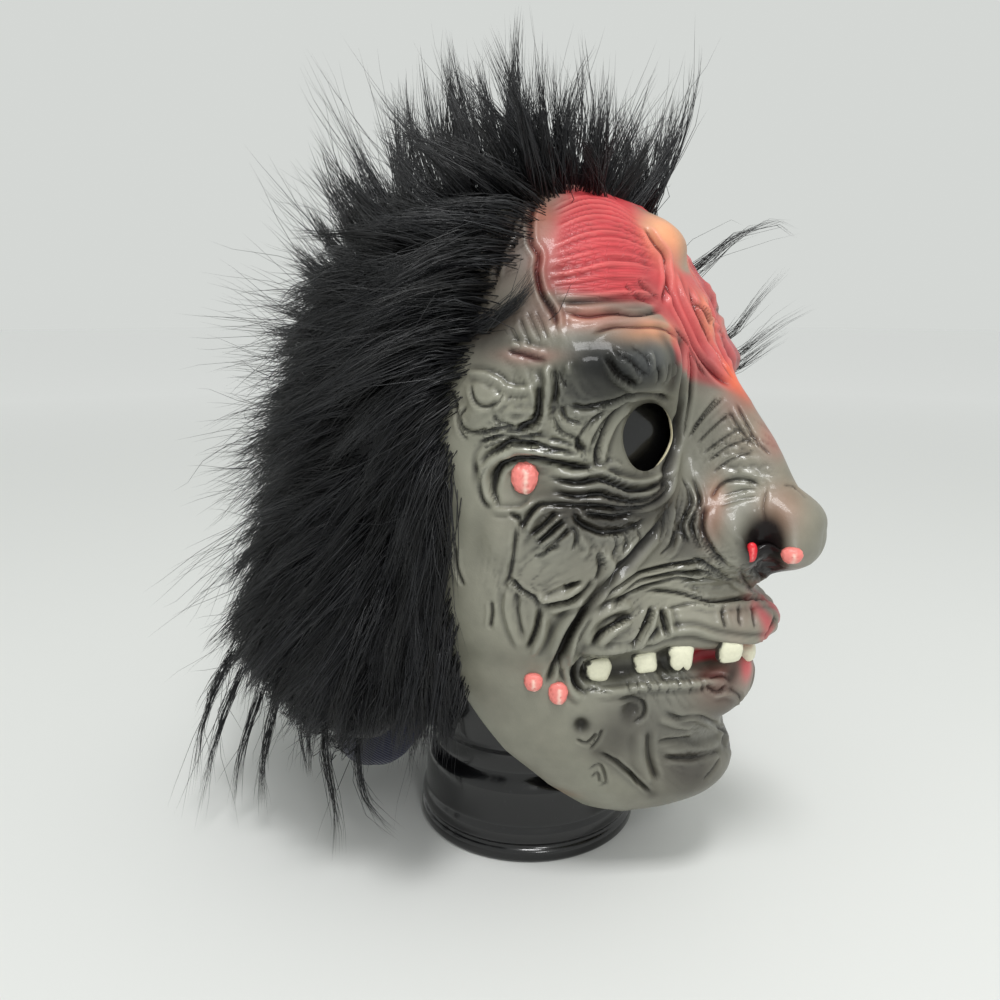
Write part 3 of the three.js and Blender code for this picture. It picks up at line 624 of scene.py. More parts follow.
def cut_stroke(points, line, far, width, heights, flow):
    """Adds one stroke to the heights, and its direction to the flow of the skin."""
    reach = max(4 * width, 2 * FLOW_REACH)
    near = np.flatnonzero(np.all((points > line.min(0) - reach) & (points < line.max(0) + reach), axis=1))
    distance, along = near_line(points[near], line)
    ends = np.minimum(1, np.minimum(along, 1 - along) / END_SHARE)
    ends = ends * ends * (3 - 2 * ends)
    core = np.exp(-((distance / width) ** CORE_POWER))
    shoulder = np.exp(-(((distance - SHOULDER_AT * width) / (SHOULDER_WIDTH * width)) ** 2))
    heights[near] += far * ends * (core - SHOULDER_SHARE * shoulder)
    steps = np.diff(line, axis=0)
    at_step = np.clip((along * len(steps)).astype(int), 0, len(steps) - 1)
    way = steps[at_step] / np.maximum(norm(steps[at_step], axis=1, keepdims=True), 1e-9)
    on_side = np.sign((np.cross(way, flat_normals[near]) * (points[near] - line[at_step])).sum(1))
    closer = distance < nearest_crease[near]
    nearest_crease[near[closer]] = distance[closer]
    strength = ends * np.clip(-far, 0, deepest_crease) * np.clip(1.4 - distance / CREASE_REACH, 0, 1)
    along_mm = along * norm(steps, axis=1).sum() + 20 * line[0, 2]
    crease[near[closer]] = np.stack([distance * on_side, along_mm, strength], 1)[closer]
    pull = np.exp(-((distance / FLOW_REACH) ** 2))
    u, v = (way * across_way[near]).sum(1), (way * upward_way[near]).sum(1)
    flow[near, 0] += pull * (u * u - v * v)
    flow[near, 1] += pull * 2 * u * v


flat, flat_normals = lumpy.reshape(-1, 3), lumpy_normals.reshape(-1, 3)
across_way = np.cross((0, 0, 1), flat_normals)
across_way /= np.maximum(norm(across_way, axis=1, keepdims=True), 1e-9)
upward_way = np.cross(flat_normals, across_way)
fine, flow = np.zeros(len(flat)), np.zeros((len(flat), 2))
nearest_crease, crease = np.full(len(flat), 1e9), np.zeros((len(flat), 3))
# the depth in mm from which the crease in the material is at its full strength
deepest_crease = 1.0


def cut_both_sides(line, far, width):
    """Cuts a stroke, and its twin on the left unless it runs over the nose or is very fine."""
    cut_stroke(flat, line, far, width, fine, flow)
    if line[:, 0].max() < NOSE_WIDTH_LEFT_ALONE and width > FINEST_ON_THE_LEFT:
        drift = np.array(LEFT_DRIFT) * np.sin(line[:, 1:2] / DRIFT_LENGTH + far)
        wider = max(width * LEFT_WIDER, LEAST_LEFT_WIDTH)
        cut_stroke(flat, line * (-1, 1, 1) + drift, LEFT_SHARE * far, wider, fine, flow)


for view, strokes in ((UPPER, UPPER_STROKES), (LOWER, LOWER_STROKES)):
    for far, width, *numbers in strokes:
        cut_both_sides(smooth_line(from_view(view, *numbers)), far, width * NARROWER)
print(len(UPPER_STROKES + LOWER_STROKES), "strokes,", fine.min().round(1), "to", fine.max().round(1), "mm")

# %% [markdown]
# ## The flayed muscle
# The red forehead is modelled as bare muscle: fine cords lie side by side and bend with the bulge. A few of
# them are read from the view, and the ones between are found by going part of the way from each to the next.

# %% Cords of the forehead
MUSCLE_CORDS = [
    (470, 120, 600, 72, 700, 88, 785, 135),
    (480, 155, 600, 110, 705, 120, 820, 180),
    (480, 200, 620, 150, 740, 168, 850, 220),
    (470, 245, 600, 192, 730, 195, 865, 250),
    (455, 290, 610, 240, 735, 235, 878, 285),
    (448, 325, 590, 292, 715, 272, 885, 322),
    (440, 362, 570, 340, 705, 312, 885, 345),
    (440, 395, 565, 375, 690, 358, 860, 368),
    (450, 430, 600, 418, 725, 392, 850, 410),
    (470, 465, 620, 452, 755, 438, 875, 445),
    (490, 495, 640, 485, 780, 480, 885, 485),
]
BETWEEN = 2
# a cord is cut less sharply than a wrinkle
deepest_crease = 0.4
cords = [smooth_line(from_view(UPPER, *numbers)) for numbers in MUSCLE_CORDS]
for upper, lower in zip(cords[:-1], cords[1:]):
    for step in range(BETWEEN):
        share = step / BETWEEN
        middle = upper * (1 - share) + lower * share
        wobble = rng.normal(0, 0.5, 2)
        middle = middle + np.linspace(*wobble, len(middle))[:, None] * (0, 0, 1)
        cut_both_sides(middle, -rng.uniform(0.7, 1.3), rng.uniform(0.75, 1.0))
print((len(cords) - 1) * BETWEEN, "cords")

# %% [markdown]
# ## Fine creases between the strokes
# Between the big folds the clay carries finer creases that run the same way. They come from noise that is
# smeared along the flow of the strokes, so it turns into long grains, and a thin crease is cut wherever it
# changes sign. How deep they go is set by region: deep under the eye and on the cheek, and none on the smooth
# jaw and eyelid.

# %% Smear noise along the flow
SMEAR_STEPS, SMEAR_STEP = 8, 0.9
LEFT_WRINKLES, DEEPEST_FOLD = 0.35, 3.6
WRINKLED = [
    # view, x, y, reach in mm, depth in mm
    (LOWER, 680, 290, 15, 0.8),
    (LOWER, 460, 440, 11, 0.7),
    (LOWER, 700, 450, 12, 0.7),
    (UPPER, 360, 970, 15, 0.8),
    (UPPER, 300, 830, 14, 0.35),
    (UPPER, 530, 880, 13, 0.6),
    (LOWER, 1060, 570, 13, 0.8),
    (LOWER, 950, 380, 10, 0.7),
    (LOWER, 800, 790, 13, 0.5),
    (LOWER, 1180, 130, 14, 0.5),
    (UPPER, 1080, 580, 13, 0.3),
    (UPPER, 420, 560, 12, 0.15),
    (LOWER, 900, 1030, 14, 0.35),
    (LOWER, 980, 1250, 14, 0.3),
    (LOWER, 600, 920, 9, 0.6),
    (LOWER, 380, 620, 16, 0.4),
    (LOWER, 1250, 560, 9, 0.8),
]


def sample(values, rows, columns):
    """Values of a sheet at places between its points."""
    rows = np.clip(rows, 0, values.shape[0] - 1.001)
    columns = np.clip(columns, 0, values.shape[1] - 1.001)
    i, j = rows.astype(int), columns.astype(int)
    a, b = rows - i, columns - j
    upper = values[i, j] * (1 - b) + values[i, j + 1] * b
    lower = values[i + 1, j] * (1 - b) + values[i + 1, j + 1] * b
    return upper * (1 - a) + lower * a


shape = bare.shape[:2]
flow = blur_both(flow.reshape(*shape, 2) + np.array((0.02, 0.0)), 3)
angle = 0.5 * np.arctan2(flow[..., 1], flow[..., 0])
way = np.cos(angle)[..., None] * across_way.reshape(*shape, 3)
way = way + np.sin(angle)[..., None] * upward_way.reshape(*shape, 3)
column_step, row_step = np.gradient(lumpy, axis=1), np.gradient(lumpy, axis=0)
go_column = (way * column_step).sum(2) / np.maximum((column_step**2).sum(2), 0.05)
go_row = (way * row_step).sum(2) / np.maximum((row_step**2).sum(2), 0.05)
noise = blur_both(rng.normal(size=shape), 0.8)
smeared = noise.copy()
for direction in (-1, 1):
    at_row, at_column = np.meshgrid(*(np.arange(n, dtype=float) for n in shape), indexing="ij")
    last_row, last_column = go_row * direction, go_column * direction
    for _ in range(SMEAR_STEPS):
        new_row, new_column = sample(go_row, at_row, at_column), sample(go_column, at_row, at_column)
        same = np.sign(new_row * last_row + new_column * last_column + 1e-12)
        last_row, last_column = new_row * same, new_column * same
        at_row, at_column = at_row + last_row * SMEAR_STEP, at_column + last_column * SMEAR_STEP
        smeared += sample(noise, at_row, at_column)
smeared /= smeared.std()

depth_map = np.zeros(shape)
for view, x, y, reach, deep in WRINKLED:
    centre = from_view(view, x, y)[0]
    for side in (1, -1):
        away = norm(lumpy - centre * (side, 1, 1), axis=2)
        deep_here = deep if side == 1 else LEFT_WRINKLES * deep
        depth_map = np.maximum(depth_map, deep_here * np.exp(-((away / reach) ** 3)))
depth_map *= np.clip((lids - 1.35) / 0.4, 0, 1)
fine = fine.reshape(shape) * np.clip((lids - 1.02) / 0.15, 0, 1)
creases = -1.3 * np.exp(-((smeared / 0.4) ** 2)) + 0.35 * np.clip(np.abs(smeared), 0, 2)
fine = DEEPEST_FOLD * np.tanh((fine + depth_map * creases) / DEEPEST_FOLD)
sheet = lumpy + lumpy_normals * fine[..., None]
relief = lumps + fine
crease[:, 2] *= np.clip((lids.ravel() - 1.05) / 0.2, 0, 1)
wrinkled = np.clip(blur_both(depth_map, 3) / 0.7, 0, 1)
print("fine relief", fine.std().round(2), "mm on average")

# %% [markdown]
# ## Airbrushed paint
# Such masks are cast in tinted latex and painted by airbrush: a grey-olive skin, soft clouds of red, orange
# and brown, and a thin dark wash in the creases. Each point of the sheet carries its own colour. The clouds
# are laid one after another as soft spots, the red muscle and the strip down the nose as areas with a soft
# edge.
# Light and shade are painted in too. A dark tone is worked out from the relief itself, so it sits where a wash
# would run and where shade falls: it is partly the wash and partly painted shade. The ridges are painted
# lighter as painted highlights, a few grey clouds are painted highlights on the black brow, and some dark
# clouds and lines are painted shade in pits, hollows and deep creases.

# %% Paint the sheet
SKIN, SKIN_WARM = paint("#868577"), paint("#787467")
# how strongly the dark wash and painted shade darken fine creases and broad hollows
WASH_AND_SHADE_FINE, WASH_AND_SHADE_BROAD = 0.72, 0.45
AREAS = [
    # colour, strength, soft edge in mm, view, outline
    (
        "#c4373f", 0.98, 3.0, UPPER,
        (440, 30, 600, 10, 740, 50, 812, 172, 870, 250, 905, 300, 905, 420, 880, 470, 740, 462, 560, 440,
         440, 415, 408, 330, 410, 240, 440, 150),
    ),
    (
        "#c9474a", 0.94, 2.0, UPPER,
        (900, 300, 965, 350, 1090, 430, 1112, 540, 1165, 660, 1205, 830, 1150, 800, 1085, 730, 1010, 640,
         955, 520, 900, 430),
    ),
]  # fmt: skip
CLOUDS = [
    # the view, and for each cloud: colour, strength, x, y, across and up in mm
    (LOWER, [
        ("#56544a", 0.6, 760, 330, 24, 22), ("#5c5b51", 0.35, 500, 470, 13, 14),
        ("#959283", 0.6, 1030, 700, 22, 10), ("#918f80", 0.7, 230, 700, 9, 22),
        ("#5e5c55", 0.6, 900, 1150, 24, 20),
    ]),
    (UPPER, [
        ("#73725f", 0.4, 420, 900, 22, 20), ("#66645a", 0.5, 1100, 960, 12, 18),
        ("#53443f", 0.92, 300, 230, 15, 27), ("#3d3733", 0.85, 200, 585, 16, 12),
        ("#9c5a45", 0.6, 430, 150, 5, 16), ("#6a4339", 0.6, 440, 400, 8, 12),
        ("#5c3a34", 0.7, 660, 492, 30, 5), ("#5f3b36", 0.45, 845, 432, 7, 6),
        ("#b97660", 0.7, 620, 535, 13, 5), ("#dd9f74", 0.95, 850, 578, 15, 5),
        ("#7c5a4c", 0.5, 740, 548, 8, 4), ("#121416", 0.98, 772, 712, 22, 12),
        # the next two clouds are painted highlights: mid grey where the black brow catches the light
        ("#5a5d60", 0.35, 800, 702, 8, 6), ("#55585b", 0.4, 868, 660, 5, 7),
        ("#26221f", 0.8, 935, 690, 4, 13), ("#1a1b1b", 0.97, 632, 715, 12, 12),
        ("#33332f", 0.8, 600, 825, 16, 7), ("#a96a60", 0.45, 380, 672, 10, 3),
        ("#e6a173", 0.97, 908, 205, 9.5, 11), ("#cf5f58", 0.6, 915, 330, 7, 9),
        ("#dc8f69", 0.6, 1075, 520, 6, 9), ("#b5625a", 0.6, 985, 430, 6, 8),
        ("#f06b41", 0.8, 1172, 770, 5, 9), ("#5d3f3d", 0.55, 1040, 720, 8, 9),
        ("#8a5c50", 0.5, 1180, 850, 7, 7), ("#a8645a", 0.5, 1300, 990, 5, 8),
    ]),
    (LOWER, [
        ("#2d2926", 0.8, 700, 325, 20, 9), ("#39342e", 0.6, 470, 410, 11, 8),
        ("#423b36", 0.55, 960, 420, 11, 14), ("#a97459", 0.8, 1082, 340, 5, 11),
        ("#9a745c", 0.7, 1335, 350, 8, 11), ("#8d7a68", 0.4, 1230, 60, 7, 9),
        ("#2f2c29", 0.35, 1150, 610, 10, 5), ("#c84c56", 0.8, 1322, 720, 4, 10),
        ("#82695e", 0.5, 1190, 740, 8, 7), ("#97897c", 0.55, 1190, 1010, 9, 8),
        ("#6d5047", 0.7, 1110, 1040, 10, 7), ("#b26a62", 0.55, 1110, 965, 9, 4),
        ("#e25a5e", 0.85, 1208, 945, 5, 5), ("#3f3b37", 0.9, 1005, 1335, 17, 15),
        # the second cloud here is painted shade in the crease at the corner of the mouth
        ("#8f7058", 0.5, 490, 1430, 8, 4), ("#26241f", 0.8, 560, 965, 4, 6),
        # the next two clouds are painted shade in the pit and the hollow of the jaw
        ("#211f1c", 0.8, 578, 1165, 3.5, 3.5), ("#3a3833", 0.7, 772, 1108, 6, 6.5),
        ("#3d3933", 0.35, 660, 900, 12, 5), ("#38332d", 0.85, 600, 325, 17, 8),
        ("#3a352f", 0.6, 500, 300, 9, 6), ("#6f6c62", 0.5, 1185, 382, 9, 9),
        ("#24201c", 0.85, 700, 385, 15, 6), ("#47433d", 0.75, 1000, 390, 8, 15),
        ("#4d4a44", 0.75, 740, 1180, 13, 15), ("#4b3f3a", 0.6, 1130, 1110, 10, 9),
        # painted shade under the nostril
        ("#1c1917", 0.9, 1290, 560, 8, 7),
    ]),
]  # fmt: skip
# the red runs further down on the left: colour, strength, place across and height in mm, across and up in mm
LEFT_CLOUDS = [("#c4565b", 0.9, 34, 219, 13, 13), ("#b4605c", 0.7, 22, 204, 7, 10)]
# painted shade: dark lines along the deepest creases and between the lips
CREASE_SHADE_LINES = [
    # colour, strength, width in mm, view, line
    ("#2a2625", 0.8, 3.6, UPPER, (955, 610, 962, 740, 948, 880, 935, 1000, 905, 1110, 870, 1220)),
    ("#2b2824", 0.8, 4.0, LOWER, (905, 330, 880, 400, 820, 470, 760, 540, 690, 606, 610, 700, 545, 795,
                                  490, 900)),
    ("#292722", 0.85, 3.2, LOWER, (570, 960, 640, 965, 740, 955, 850, 940, 970, 925, 1110, 905, 1240, 900)),
    ("#3a3631", 0.6, 2.6, LOWER, (640, 1268, 700, 1300, 762, 1352, 850, 1432)),
]  # fmt: skip


def lay(colours, hex_code, amount):
    """Sprays a colour over the sheet, by an amount from 0 to 1 at each point."""
    return colours + (np.array(paint(hex_code)) - colours) * np.clip(amount, 0, 1)[:, None]


def soft_area(points, outline, softness):
    """1 inside an outline in the front view, 0 outside, with a soft edge."""
    x, z = points[:, 0], points[:, 2]
    inside = np.zeros(len(points), bool)
    for (ax, _, az), (bx, _, bz) in zip(outline, np.roll(outline, -1, axis=0)):
        crosses = (az > z) != (bz > z)
        inside ^= crosses & (x < (bx - ax) * (z - az) / (bz - az + 1e-9) + ax)
    closed = np.vstack([outline, outline[:1]]) * (1, 0, 1)
    distance = near_line(points * (1, 0, 1), closed)[0] * np.where(inside, 1, -1)
    amount = np.clip(0.5 + 0.5 * distance / softness, 0, 1)
    return amount * amount * (3 - 2 * amount)


skin, skin_normals = sheet.reshape(-1, 3), lumpy_normals.reshape(-1, 3)
drifting = blur_both(rng.normal(size=shape), 9).ravel()
warm = np.clip(0.5 + 0.5 * drifting / drifting.std(), 0, 1)[:, None]
colours = np.array(SKIN) + (np.array(SKIN_WARM) - np.array(SKIN)) * 0.55 * warm
TWIN = np.array((-1, 1, 1))
for hex_code, strength, softness, view, numbers in AREAS:
    outline = from_view(view, *numbers)
    for side in (1, TWIN):
        colours = lay(colours, hex_code, strength * soft_area(skin, outline * side, softness))
for view, clouds in CLOUDS:
    for hex_code, strength, x, y, wide, high in clouds:
        centre = from_view(view, x, y)[0]
        for side in (1, TWIN):
            cloud = lump_height(skin, skin_normals, centre * side, 1, wide, high, 0)
            colours = lay(colours, hex_code, strength * cloud)
# lay the painted shade along the deepest creases, on both halves
for hex_code, strength, width, view, numbers in CREASE_SHADE_LINES:
    line = smooth_line(from_view(view, *numbers))
    for side in (1, TWIN):
        distance = near_line(skin, line * side)[0]
        colours = lay(colours, hex_code, strength * np.exp(-((distance / width) ** 2)))

for hex_code, strength, across_mm, height, wide, high in LEFT_CLOUDS:
    nearest = np.argmin(abs(skin[:, 0] - across_mm) + abs(skin[:, 2] - height))
    cloud = lump_height(skin, skin_normals, skin[nearest], 1, wide, high, 0)
    colours = lay(colours, hex_code, strength * cloud)

# dark wash and painted shade: the skin is darkened in fine creases and in broad hollows of the relief
hollow = (relief - blur_both(relief, 2.5)).ravel()
broad_hollow = (relief - blur_both(relief, 7)).ravel()
wash_and_shade = np.clip(-hollow / 1.1, 0, 1) * WASH_AND_SHADE_FINE + np.clip(-broad_hollow / 3.0, 0, 1) * WASH_AND_SHADE_BROAD
wash_and_shade *= 0.6 + 0.4 * np.clip((skin[:, 2] - 82) / 25, 0, 1)
redness = np.clip((colours[:, 0] - 1.6 * colours[:, 2]) / 0.3, 0, 1)
colours = lay(colours, "#1d1b18", wash_and_shade * (1 - 0.45 * redness))
# painted shade and painted highlight on the red muscle: deeper red in its grooves, lighter red on its raised
# cords
colours = lay(colours, "#9c2028", 0.7 * redness * np.clip(-hollow / 1.0, 0, 1))
colours = lay(colours, "#e87f78", 0.4 * redness * np.clip(hollow / 0.9, 0, 1))
# painted highlight: the raised ridges of the grey skin are painted lighter
pale = np.clip(colours[:, 0] / 0.12, 0, 1)
colours = lay(colours, "#9b9a8c", 0.45 * pale * (1 - redness) * np.clip(hollow / 1.4, 0, 1))

nostril = from_view(LOWER, 1284, 485)[0]
gap = from_view(LOWER, 1012, 872, 1118, 886, 1120, 916, 1012, 930)
for side in (1, TWIN):
    shadow = lump_height(skin, skin_normals, nostril * side, 1, 7.5, 11, 0)
    colours = lay(colours, "#140f10", np.minimum(1.7 * shadow, 0.97))
    colours = lay(colours, "#8c0f1d", 0.97 * soft_area(skin, gap * side, 0.8))
colours = colours.reshape(*shape, 3)
cloud_count = sum(len(clouds) for view, clouds in CLOUDS)
print("painted", len(AREAS), "areas,", cloud_count, "clouds and", len(CREASE_SHADE_LINES), "dark lines")

# %% [markdown]
# ## The sheet becomes a mesh
# An operator makes a flat grid with the same rows and columns, and each of its points moves to its place on
# the sculpted sheet. The eye holes are cut by deleting the points inside them and drawing the edge onto the
# ellipse. Then every open edge is extruded inwards, which makes the cut rim that shows as pale raw latex, and
# bridged to a coarser inner sheet. The result is one closed skin about 2 mm thick.

# %% Build the outer and inner sheets
LATEX_WALL = 2.2
RIM_ROUNDING = 0.35
INNER_ROWS, INNER_COLUMNS = 64, 56
RAW_LATEX = paint("#d9cfae")
HOLE_GROWS_INSIDE = 1.3
BEHIND_MOUTH, MOUTH_HEIGHT = 1.6, 101

face = bmesh.new()
paint_layer = face.verts.layers.float_color.new("paint")
outward_layer = face.verts.layers.float_vector.new("outward")
crease_layer = face.verts.layers.float_vector.new("crease")
wrinkled_layer = face.verts.layers.float.new("wrinkled")
lid_layer = face.verts.layers.float.new("lid")


def add_sheet(places, normals, tints, lid, creases=None):
    """A grid whose points lie on a sheet, with its colours and creases."""
    rows, columns = places.shape[0] - 1, places.shape[1] - 1
    verts = bmesh.ops.create_grid(face, x_segments=columns, y_segments=rows, size=1)["verts"]
    for vert in verts:
        i, j = round((1 - vert.co.y) / 2 * rows), round((vert.co.x + 1) / 2 * columns)
        vert.co = places[i, j]
        vert[outward_layer] = normals[i, j]
        vert[paint_layer] = (*tints[i, j], 1)
        vert[lid_layer] = lid[i, j]
        if creases is not None:
            vert[crease_layer] = creases[i, j]
            vert[wrinkled_layer] = wrinkled[i, j]
    return verts


def cut_away(bm, beyond, reach, smoothings=5):
    """Deletes the points whose value is below 0 and draws the cut along the mesh to where the value is 0."""
    inside = [vert for vert, value in beyond.items() if value < 0]
    drawn = {}
    for vert in inside:
        for edge in vert.link_edges:
            other = edge.other_vert(vert)
            if beyond[other] >= 0:
                share = beyond[other] / (beyond[other] - beyond[vert])
                drawn.setdefault(other, []).append(other.co.lerp(vert.co, share))
    for vert, spots in drawn.items():
        vert.co = sum(spots, Vector()) / len(spots)
    kept = [vert for vert, value in beyond.items() if value >= 0]
    bmesh.ops.delete(bm, geom=inside, context="VERTS")
    ring = [vert for vert in kept if vert.is_boundary and beyond[vert] < reach]
    for turn in range(smoothings):
        moved = {}
        for vert in ring:
            beside = [edge.other_vert(vert).co for edge in vert.link_edges if edge.is_boundary]
            if len(beside) == 2 and (turn or vert not in drawn):
                moved[vert] = vert.co.lerp((beside[0] + beside[1]) / 2, 0.5 if turn else 0.9)
        for vert, place in moved.items():
            vert.co = place
    return kept


def cut_eyes(verts, grown):
    """Cuts both eye holes through a sheet, larger than the real ones by a factor."""
    return cut_away(face, {vert: vert[lid_layer] / grown - 1 for vert in verts}, 0.6)


outer = add_sheet(sheet, sheet_normals(blur_both(sheet, 1.5)), colours, lids, crease.reshape(*shape, 3))
outer = cut_eyes(outer, 1.0)

open_edges = [edge for edge in face.edges if edge.is_boundary]
raw_faces = set()
for depth, eye_depth in ((RIM_ROUNDING, 0.2), (LATEX_WALL - RIM_ROUNDING, 0.7)):
    made = bmesh.ops.extrude_edge_only(face, edges=open_edges)["geom"]
    for vert in (item for item in made if isinstance(item, bmesh.types.BMVert)):
        at_eye = abs(vert.co.x) < 60 and vert.co.y < -40 and 160 < vert.co.z < 220
        vert.co -= Vector(vert[outward_layer]) * (eye_depth if at_eye else depth)
        vert[paint_layer] = (*RAW_LATEX, 1)
    raw_faces |= {item for item in made if isinstance(item, bmesh.types.BMFace)}
    open_edges = [item for item in made if isinstance(item, bmesh.types.BMEdge) and item.is_boundary]

lowest = relief.copy()
for reach in (1, 2, 4, 8):
    for axis in (0, 1):
        for way_to in (-reach, reach):
            lowest = np.minimum(lowest, np.roll(lowest, way_to, axis))
inner_offset = blur_both(np.minimum(lowest, 0), 2) - LATEX_WALL
inner_offset -= BEHIND_MOUTH * np.exp(-(((bare[..., 2] - MOUTH_HEIGHT) / 9) ** 2))
inner_sheet = bare + bare_normals * inner_offset[..., None]
pick_rows = np.round(np.linspace(0, ROWS, INNER_ROWS + 1)).astype(int)
pick_columns = np.round(np.linspace(0, COLUMNS, INNER_COLUMNS + 1)).astype(int)
picked = np.ix_(pick_rows, pick_columns)
raw = np.zeros((INNER_ROWS + 1, INNER_COLUMNS + 1, 3)) + RAW_LATEX
inner = add_sheet(inner_sheet[picked], bare_normals[picked], raw, lids[picked])
inner = cut_eyes(inner, HOLE_GROWS_INSIDE)
inner_faces = {f for vert in inner for f in vert.link_faces}
bmesh.ops.reverse_faces(face, faces=list(inner_faces))
raw_faces |= inner_faces
inner_edges = [edge for edge in face.edges if edge.is_boundary and edge.verts[0] in set(inner)]


def loops_of(edges):
    """Sorts open edges into closed rings."""
    left, rings = set(edges), []
    while left:
        ring, front = [], [left.pop()]
        while front:
            edge = front.pop()
            ring.append(edge)
            for vert in edge.verts:
                for other in vert.link_edges:
                    if other in left:
                        left.remove(other)
                        front.append(other)
        rings.append(ring)
    return rings


def ring_middle(ring):
    """The middle of a ring of edges."""
    return sum((edge.verts[0].co for edge in ring), Vector()) / len(ring)


for ring in loops_of(open_edges):
    partner = min(loops_of(inner_edges), key=lambda other: (ring_middle(other) - ring_middle(ring)).length)
    made = bmesh.ops.bridge_loops(face, edges=ring + partner)
    raw_faces |= set(made["faces"])
    inner_edges = [edge for edge in inner_edges if edge not in set(partner)]
bmesh.ops.recalc_face_normals(face, faces=face.faces)
for f in face.faces:
    f.smooth = True
    f.material_index = 1 if f in raw_faces else 0
open_left = sum(not edge.is_manifold for edge in face.edges)
volume = round(face.calc_volume() / 1000)
print("face sheet:", len(face.faces), "faces,", open_left, "open edges, volume", volume, "cc")

# %% [markdown]
# ## Teeth and warts
# The teeth are few and crooked, and painted cream by hand, so their edges are rounded and their front is a
# little uneven. Each starts as a cube, which is cut into small squares and drawn towards a rounded block. A
# wart starts as a ball, is pressed flat and gets shallow pits. Both stand where rays through their middle in
# the picture meet the face.

# %% Add the teeth
# view x, y, width, height in mm, turn in degrees, notch, how far back the paint goes: 1 only the front, -1
# all
TEETH = [
    (652, 962, 9.6, 9.6, -3, 0, 0.62),
    (833, 936, 8.8, 9.4, 8, 0, 0.62),
    (968, 917, 9.8, 12.2, 4, 0.34, 0.62),
    (1160, 893, 10.0, 10.4, -6, 0, 0.62),
    (1244, 886, 8.0, 7.6, 5, 0, -0.4),
]
# the left half: places in mm along the mouth, width, height, turn
LEFT_TEETH = [(21, 9.8, 11.2, -4), (37, 9.4, 9.6, 7), (51, 9.6, 9.6, -6)]
TOOTH_CUTS, TOOTH_POWER, TOOTH_DEPTH = 8, 2.9, 7.5
TOOTH_FRONT = 3.8
TOOTH_CREAM, TOOTH_SHADE = paint("#ebe9cf"), paint("#45443d")

front_tree = tree_of(lumpy + lumpy_normals * TOOTH_FRONT)
cast_on = bmesh.new()
tint_layer = cast_on.verts.layers.float_color.new("paint")


def frame_at(place):
    """Across, out and up directions of the face at a place."""
    nearest = np.argmin(norm(flat - place, axis=1))
    outward = Vector(smooth_out[nearest]).normalized()
    across = Vector((0, 0, 1)).cross(outward).normalized()
    return across, outward, outward.cross(across)


def hand_noise(place, scale):
    """Slow unevenness, the same each run."""
    x, y, z = (float(v) * scale for v in place)
    return math.sin(1.7 * x + 2.3 * z) * math.sin(2.9 * y + 1.3 * x + 0.7) * math.cos(2.1 * z - 1.1 * y)


def add_tooth(front, wide, high, turn, notch=0, paint_ends=0.62):
    """A rounded block, cream in front and dark towards the gum, with its front at a place."""
    across, outward, upward = frame_at(front)
    outward = Vector((outward.x, outward.y, outward.z * 0.3)).normalized()
    upward = outward.cross(across).normalized()
    spin_way = math.radians(turn)
    before = len(cast_on.verts)
    made = bmesh.ops.create_cube(cast_on, size=2)["verts"]
    edges = {edge for vert in made for edge in vert.link_edges}
    bmesh.ops.subdivide_edges(cast_on, edges=list(edges), cuts=TOOTH_CUTS, use_grid_fill=True)
    cast_on.verts.ensure_lookup_table()
    verts = cast_on.verts[before:]
    for vert in verts:
        p = vert.co.copy()
        p /= (abs(p.x) ** TOOTH_POWER + abs(p.y) ** TOOTH_POWER + abs(p.z) ** TOOTH_POWER) ** (1 / TOOTH_POWER)
        uneven = perlin.noise(Vector((p.x + front[0], p.z, front[2])) * 1.5)
        p.x *= 1.06 + 0.06 * p.z + 0.22 * uneven
        if notch and p.z < 0:
            p.z += notch * (-p.z) * max(0, 1 - abs(p.x - 0.1) / 0.3)
        p.z *= 1.06 + 0.08 * math.sin(2.6 * p.x + front[0])
        x, z = p.x * wide / 2, p.z * high / 2
        x, z = x * math.cos(spin_way) - z * math.sin(spin_way), x * math.sin(spin_way) + z * math.cos(spin_way)
        depth = (p.y - 1) * TOOTH_DEPTH / 2 + 0.25 * hand_noise(p, 3.1)
        ragged = 0.3 * perlin.noise(Vector((p.x + front[0], p.z, 0)) * 2.6)
        shade = min(1, max(0, (paint_ends - p.y + ragged) * 9))
        vert.co = Vector(front) + across * x + outward * depth + upward * z
        vert[tint_layer] = (*(a + (b - a) * shade for a, b in zip(TOOTH_CREAM, TOOTH_SHADE)), 1)
    faces = {f for vert in verts for f in vert.link_faces}
    bmesh.ops.recalc_face_normals(cast_on, faces=list(faces))
    for f in faces:
        f.smooth = True
        f.material_index = 2


smooth_out = blur_both(lumpy_normals, 8).reshape(-1, 3)
for x, y, *shape_of_tooth in TEETH:
    front = front_tree.ray_cast(CAMERA_PLACE, picture_ray(*in_picture(LOWER, x, y)))[0]
    add_tooth(front, *shape_of_tooth)
for across_mm, wide, high, turn in LEFT_TEETH:
    front = front_tree.ray_cast(Vector((across_mm * 1.9, -300, 102)), Vector((-across_mm * 0.9, 220, 0)))[0]
    add_tooth(front, wide, high, turn)
print(len(TEETH) + len(LEFT_TEETH), "teeth")

# %% Add the warts
# view, x, y, width, height in mm, how far it stands out, detail of the ball
WARTS = [
    (LOWER, 362, 222, 9.8, 11.4, 3.4, 5),
    (LOWER, 395, 1002, 7.2, 7.4, 2.2, 4),
    (LOWER, 490, 1045, 7.4, 9.0, 2.4, 4),
    (LOWER, 1384, 518, 7.8, 6.2, 2.6, 4),
]
# on the hidden cheek: place in mm, width, height
LEFT_WARTS = [((68, -46, 152), 9.0, 10.0), ((60, -48, 84), 7.4, 7.4)]
WART_PINK, WART_PALE, WART_SHADE_RED = paint("#ee857d"), paint("#f8cbbd"), paint("#b04f49")
WART_POWER = 2.4
DRIP = (LOWER, 1229, 506, 4.2, 7.6, 1.6, 4)
DRIP_TINTS = (paint("#e0222f"), paint("#f07878"), paint("#a3121c"))


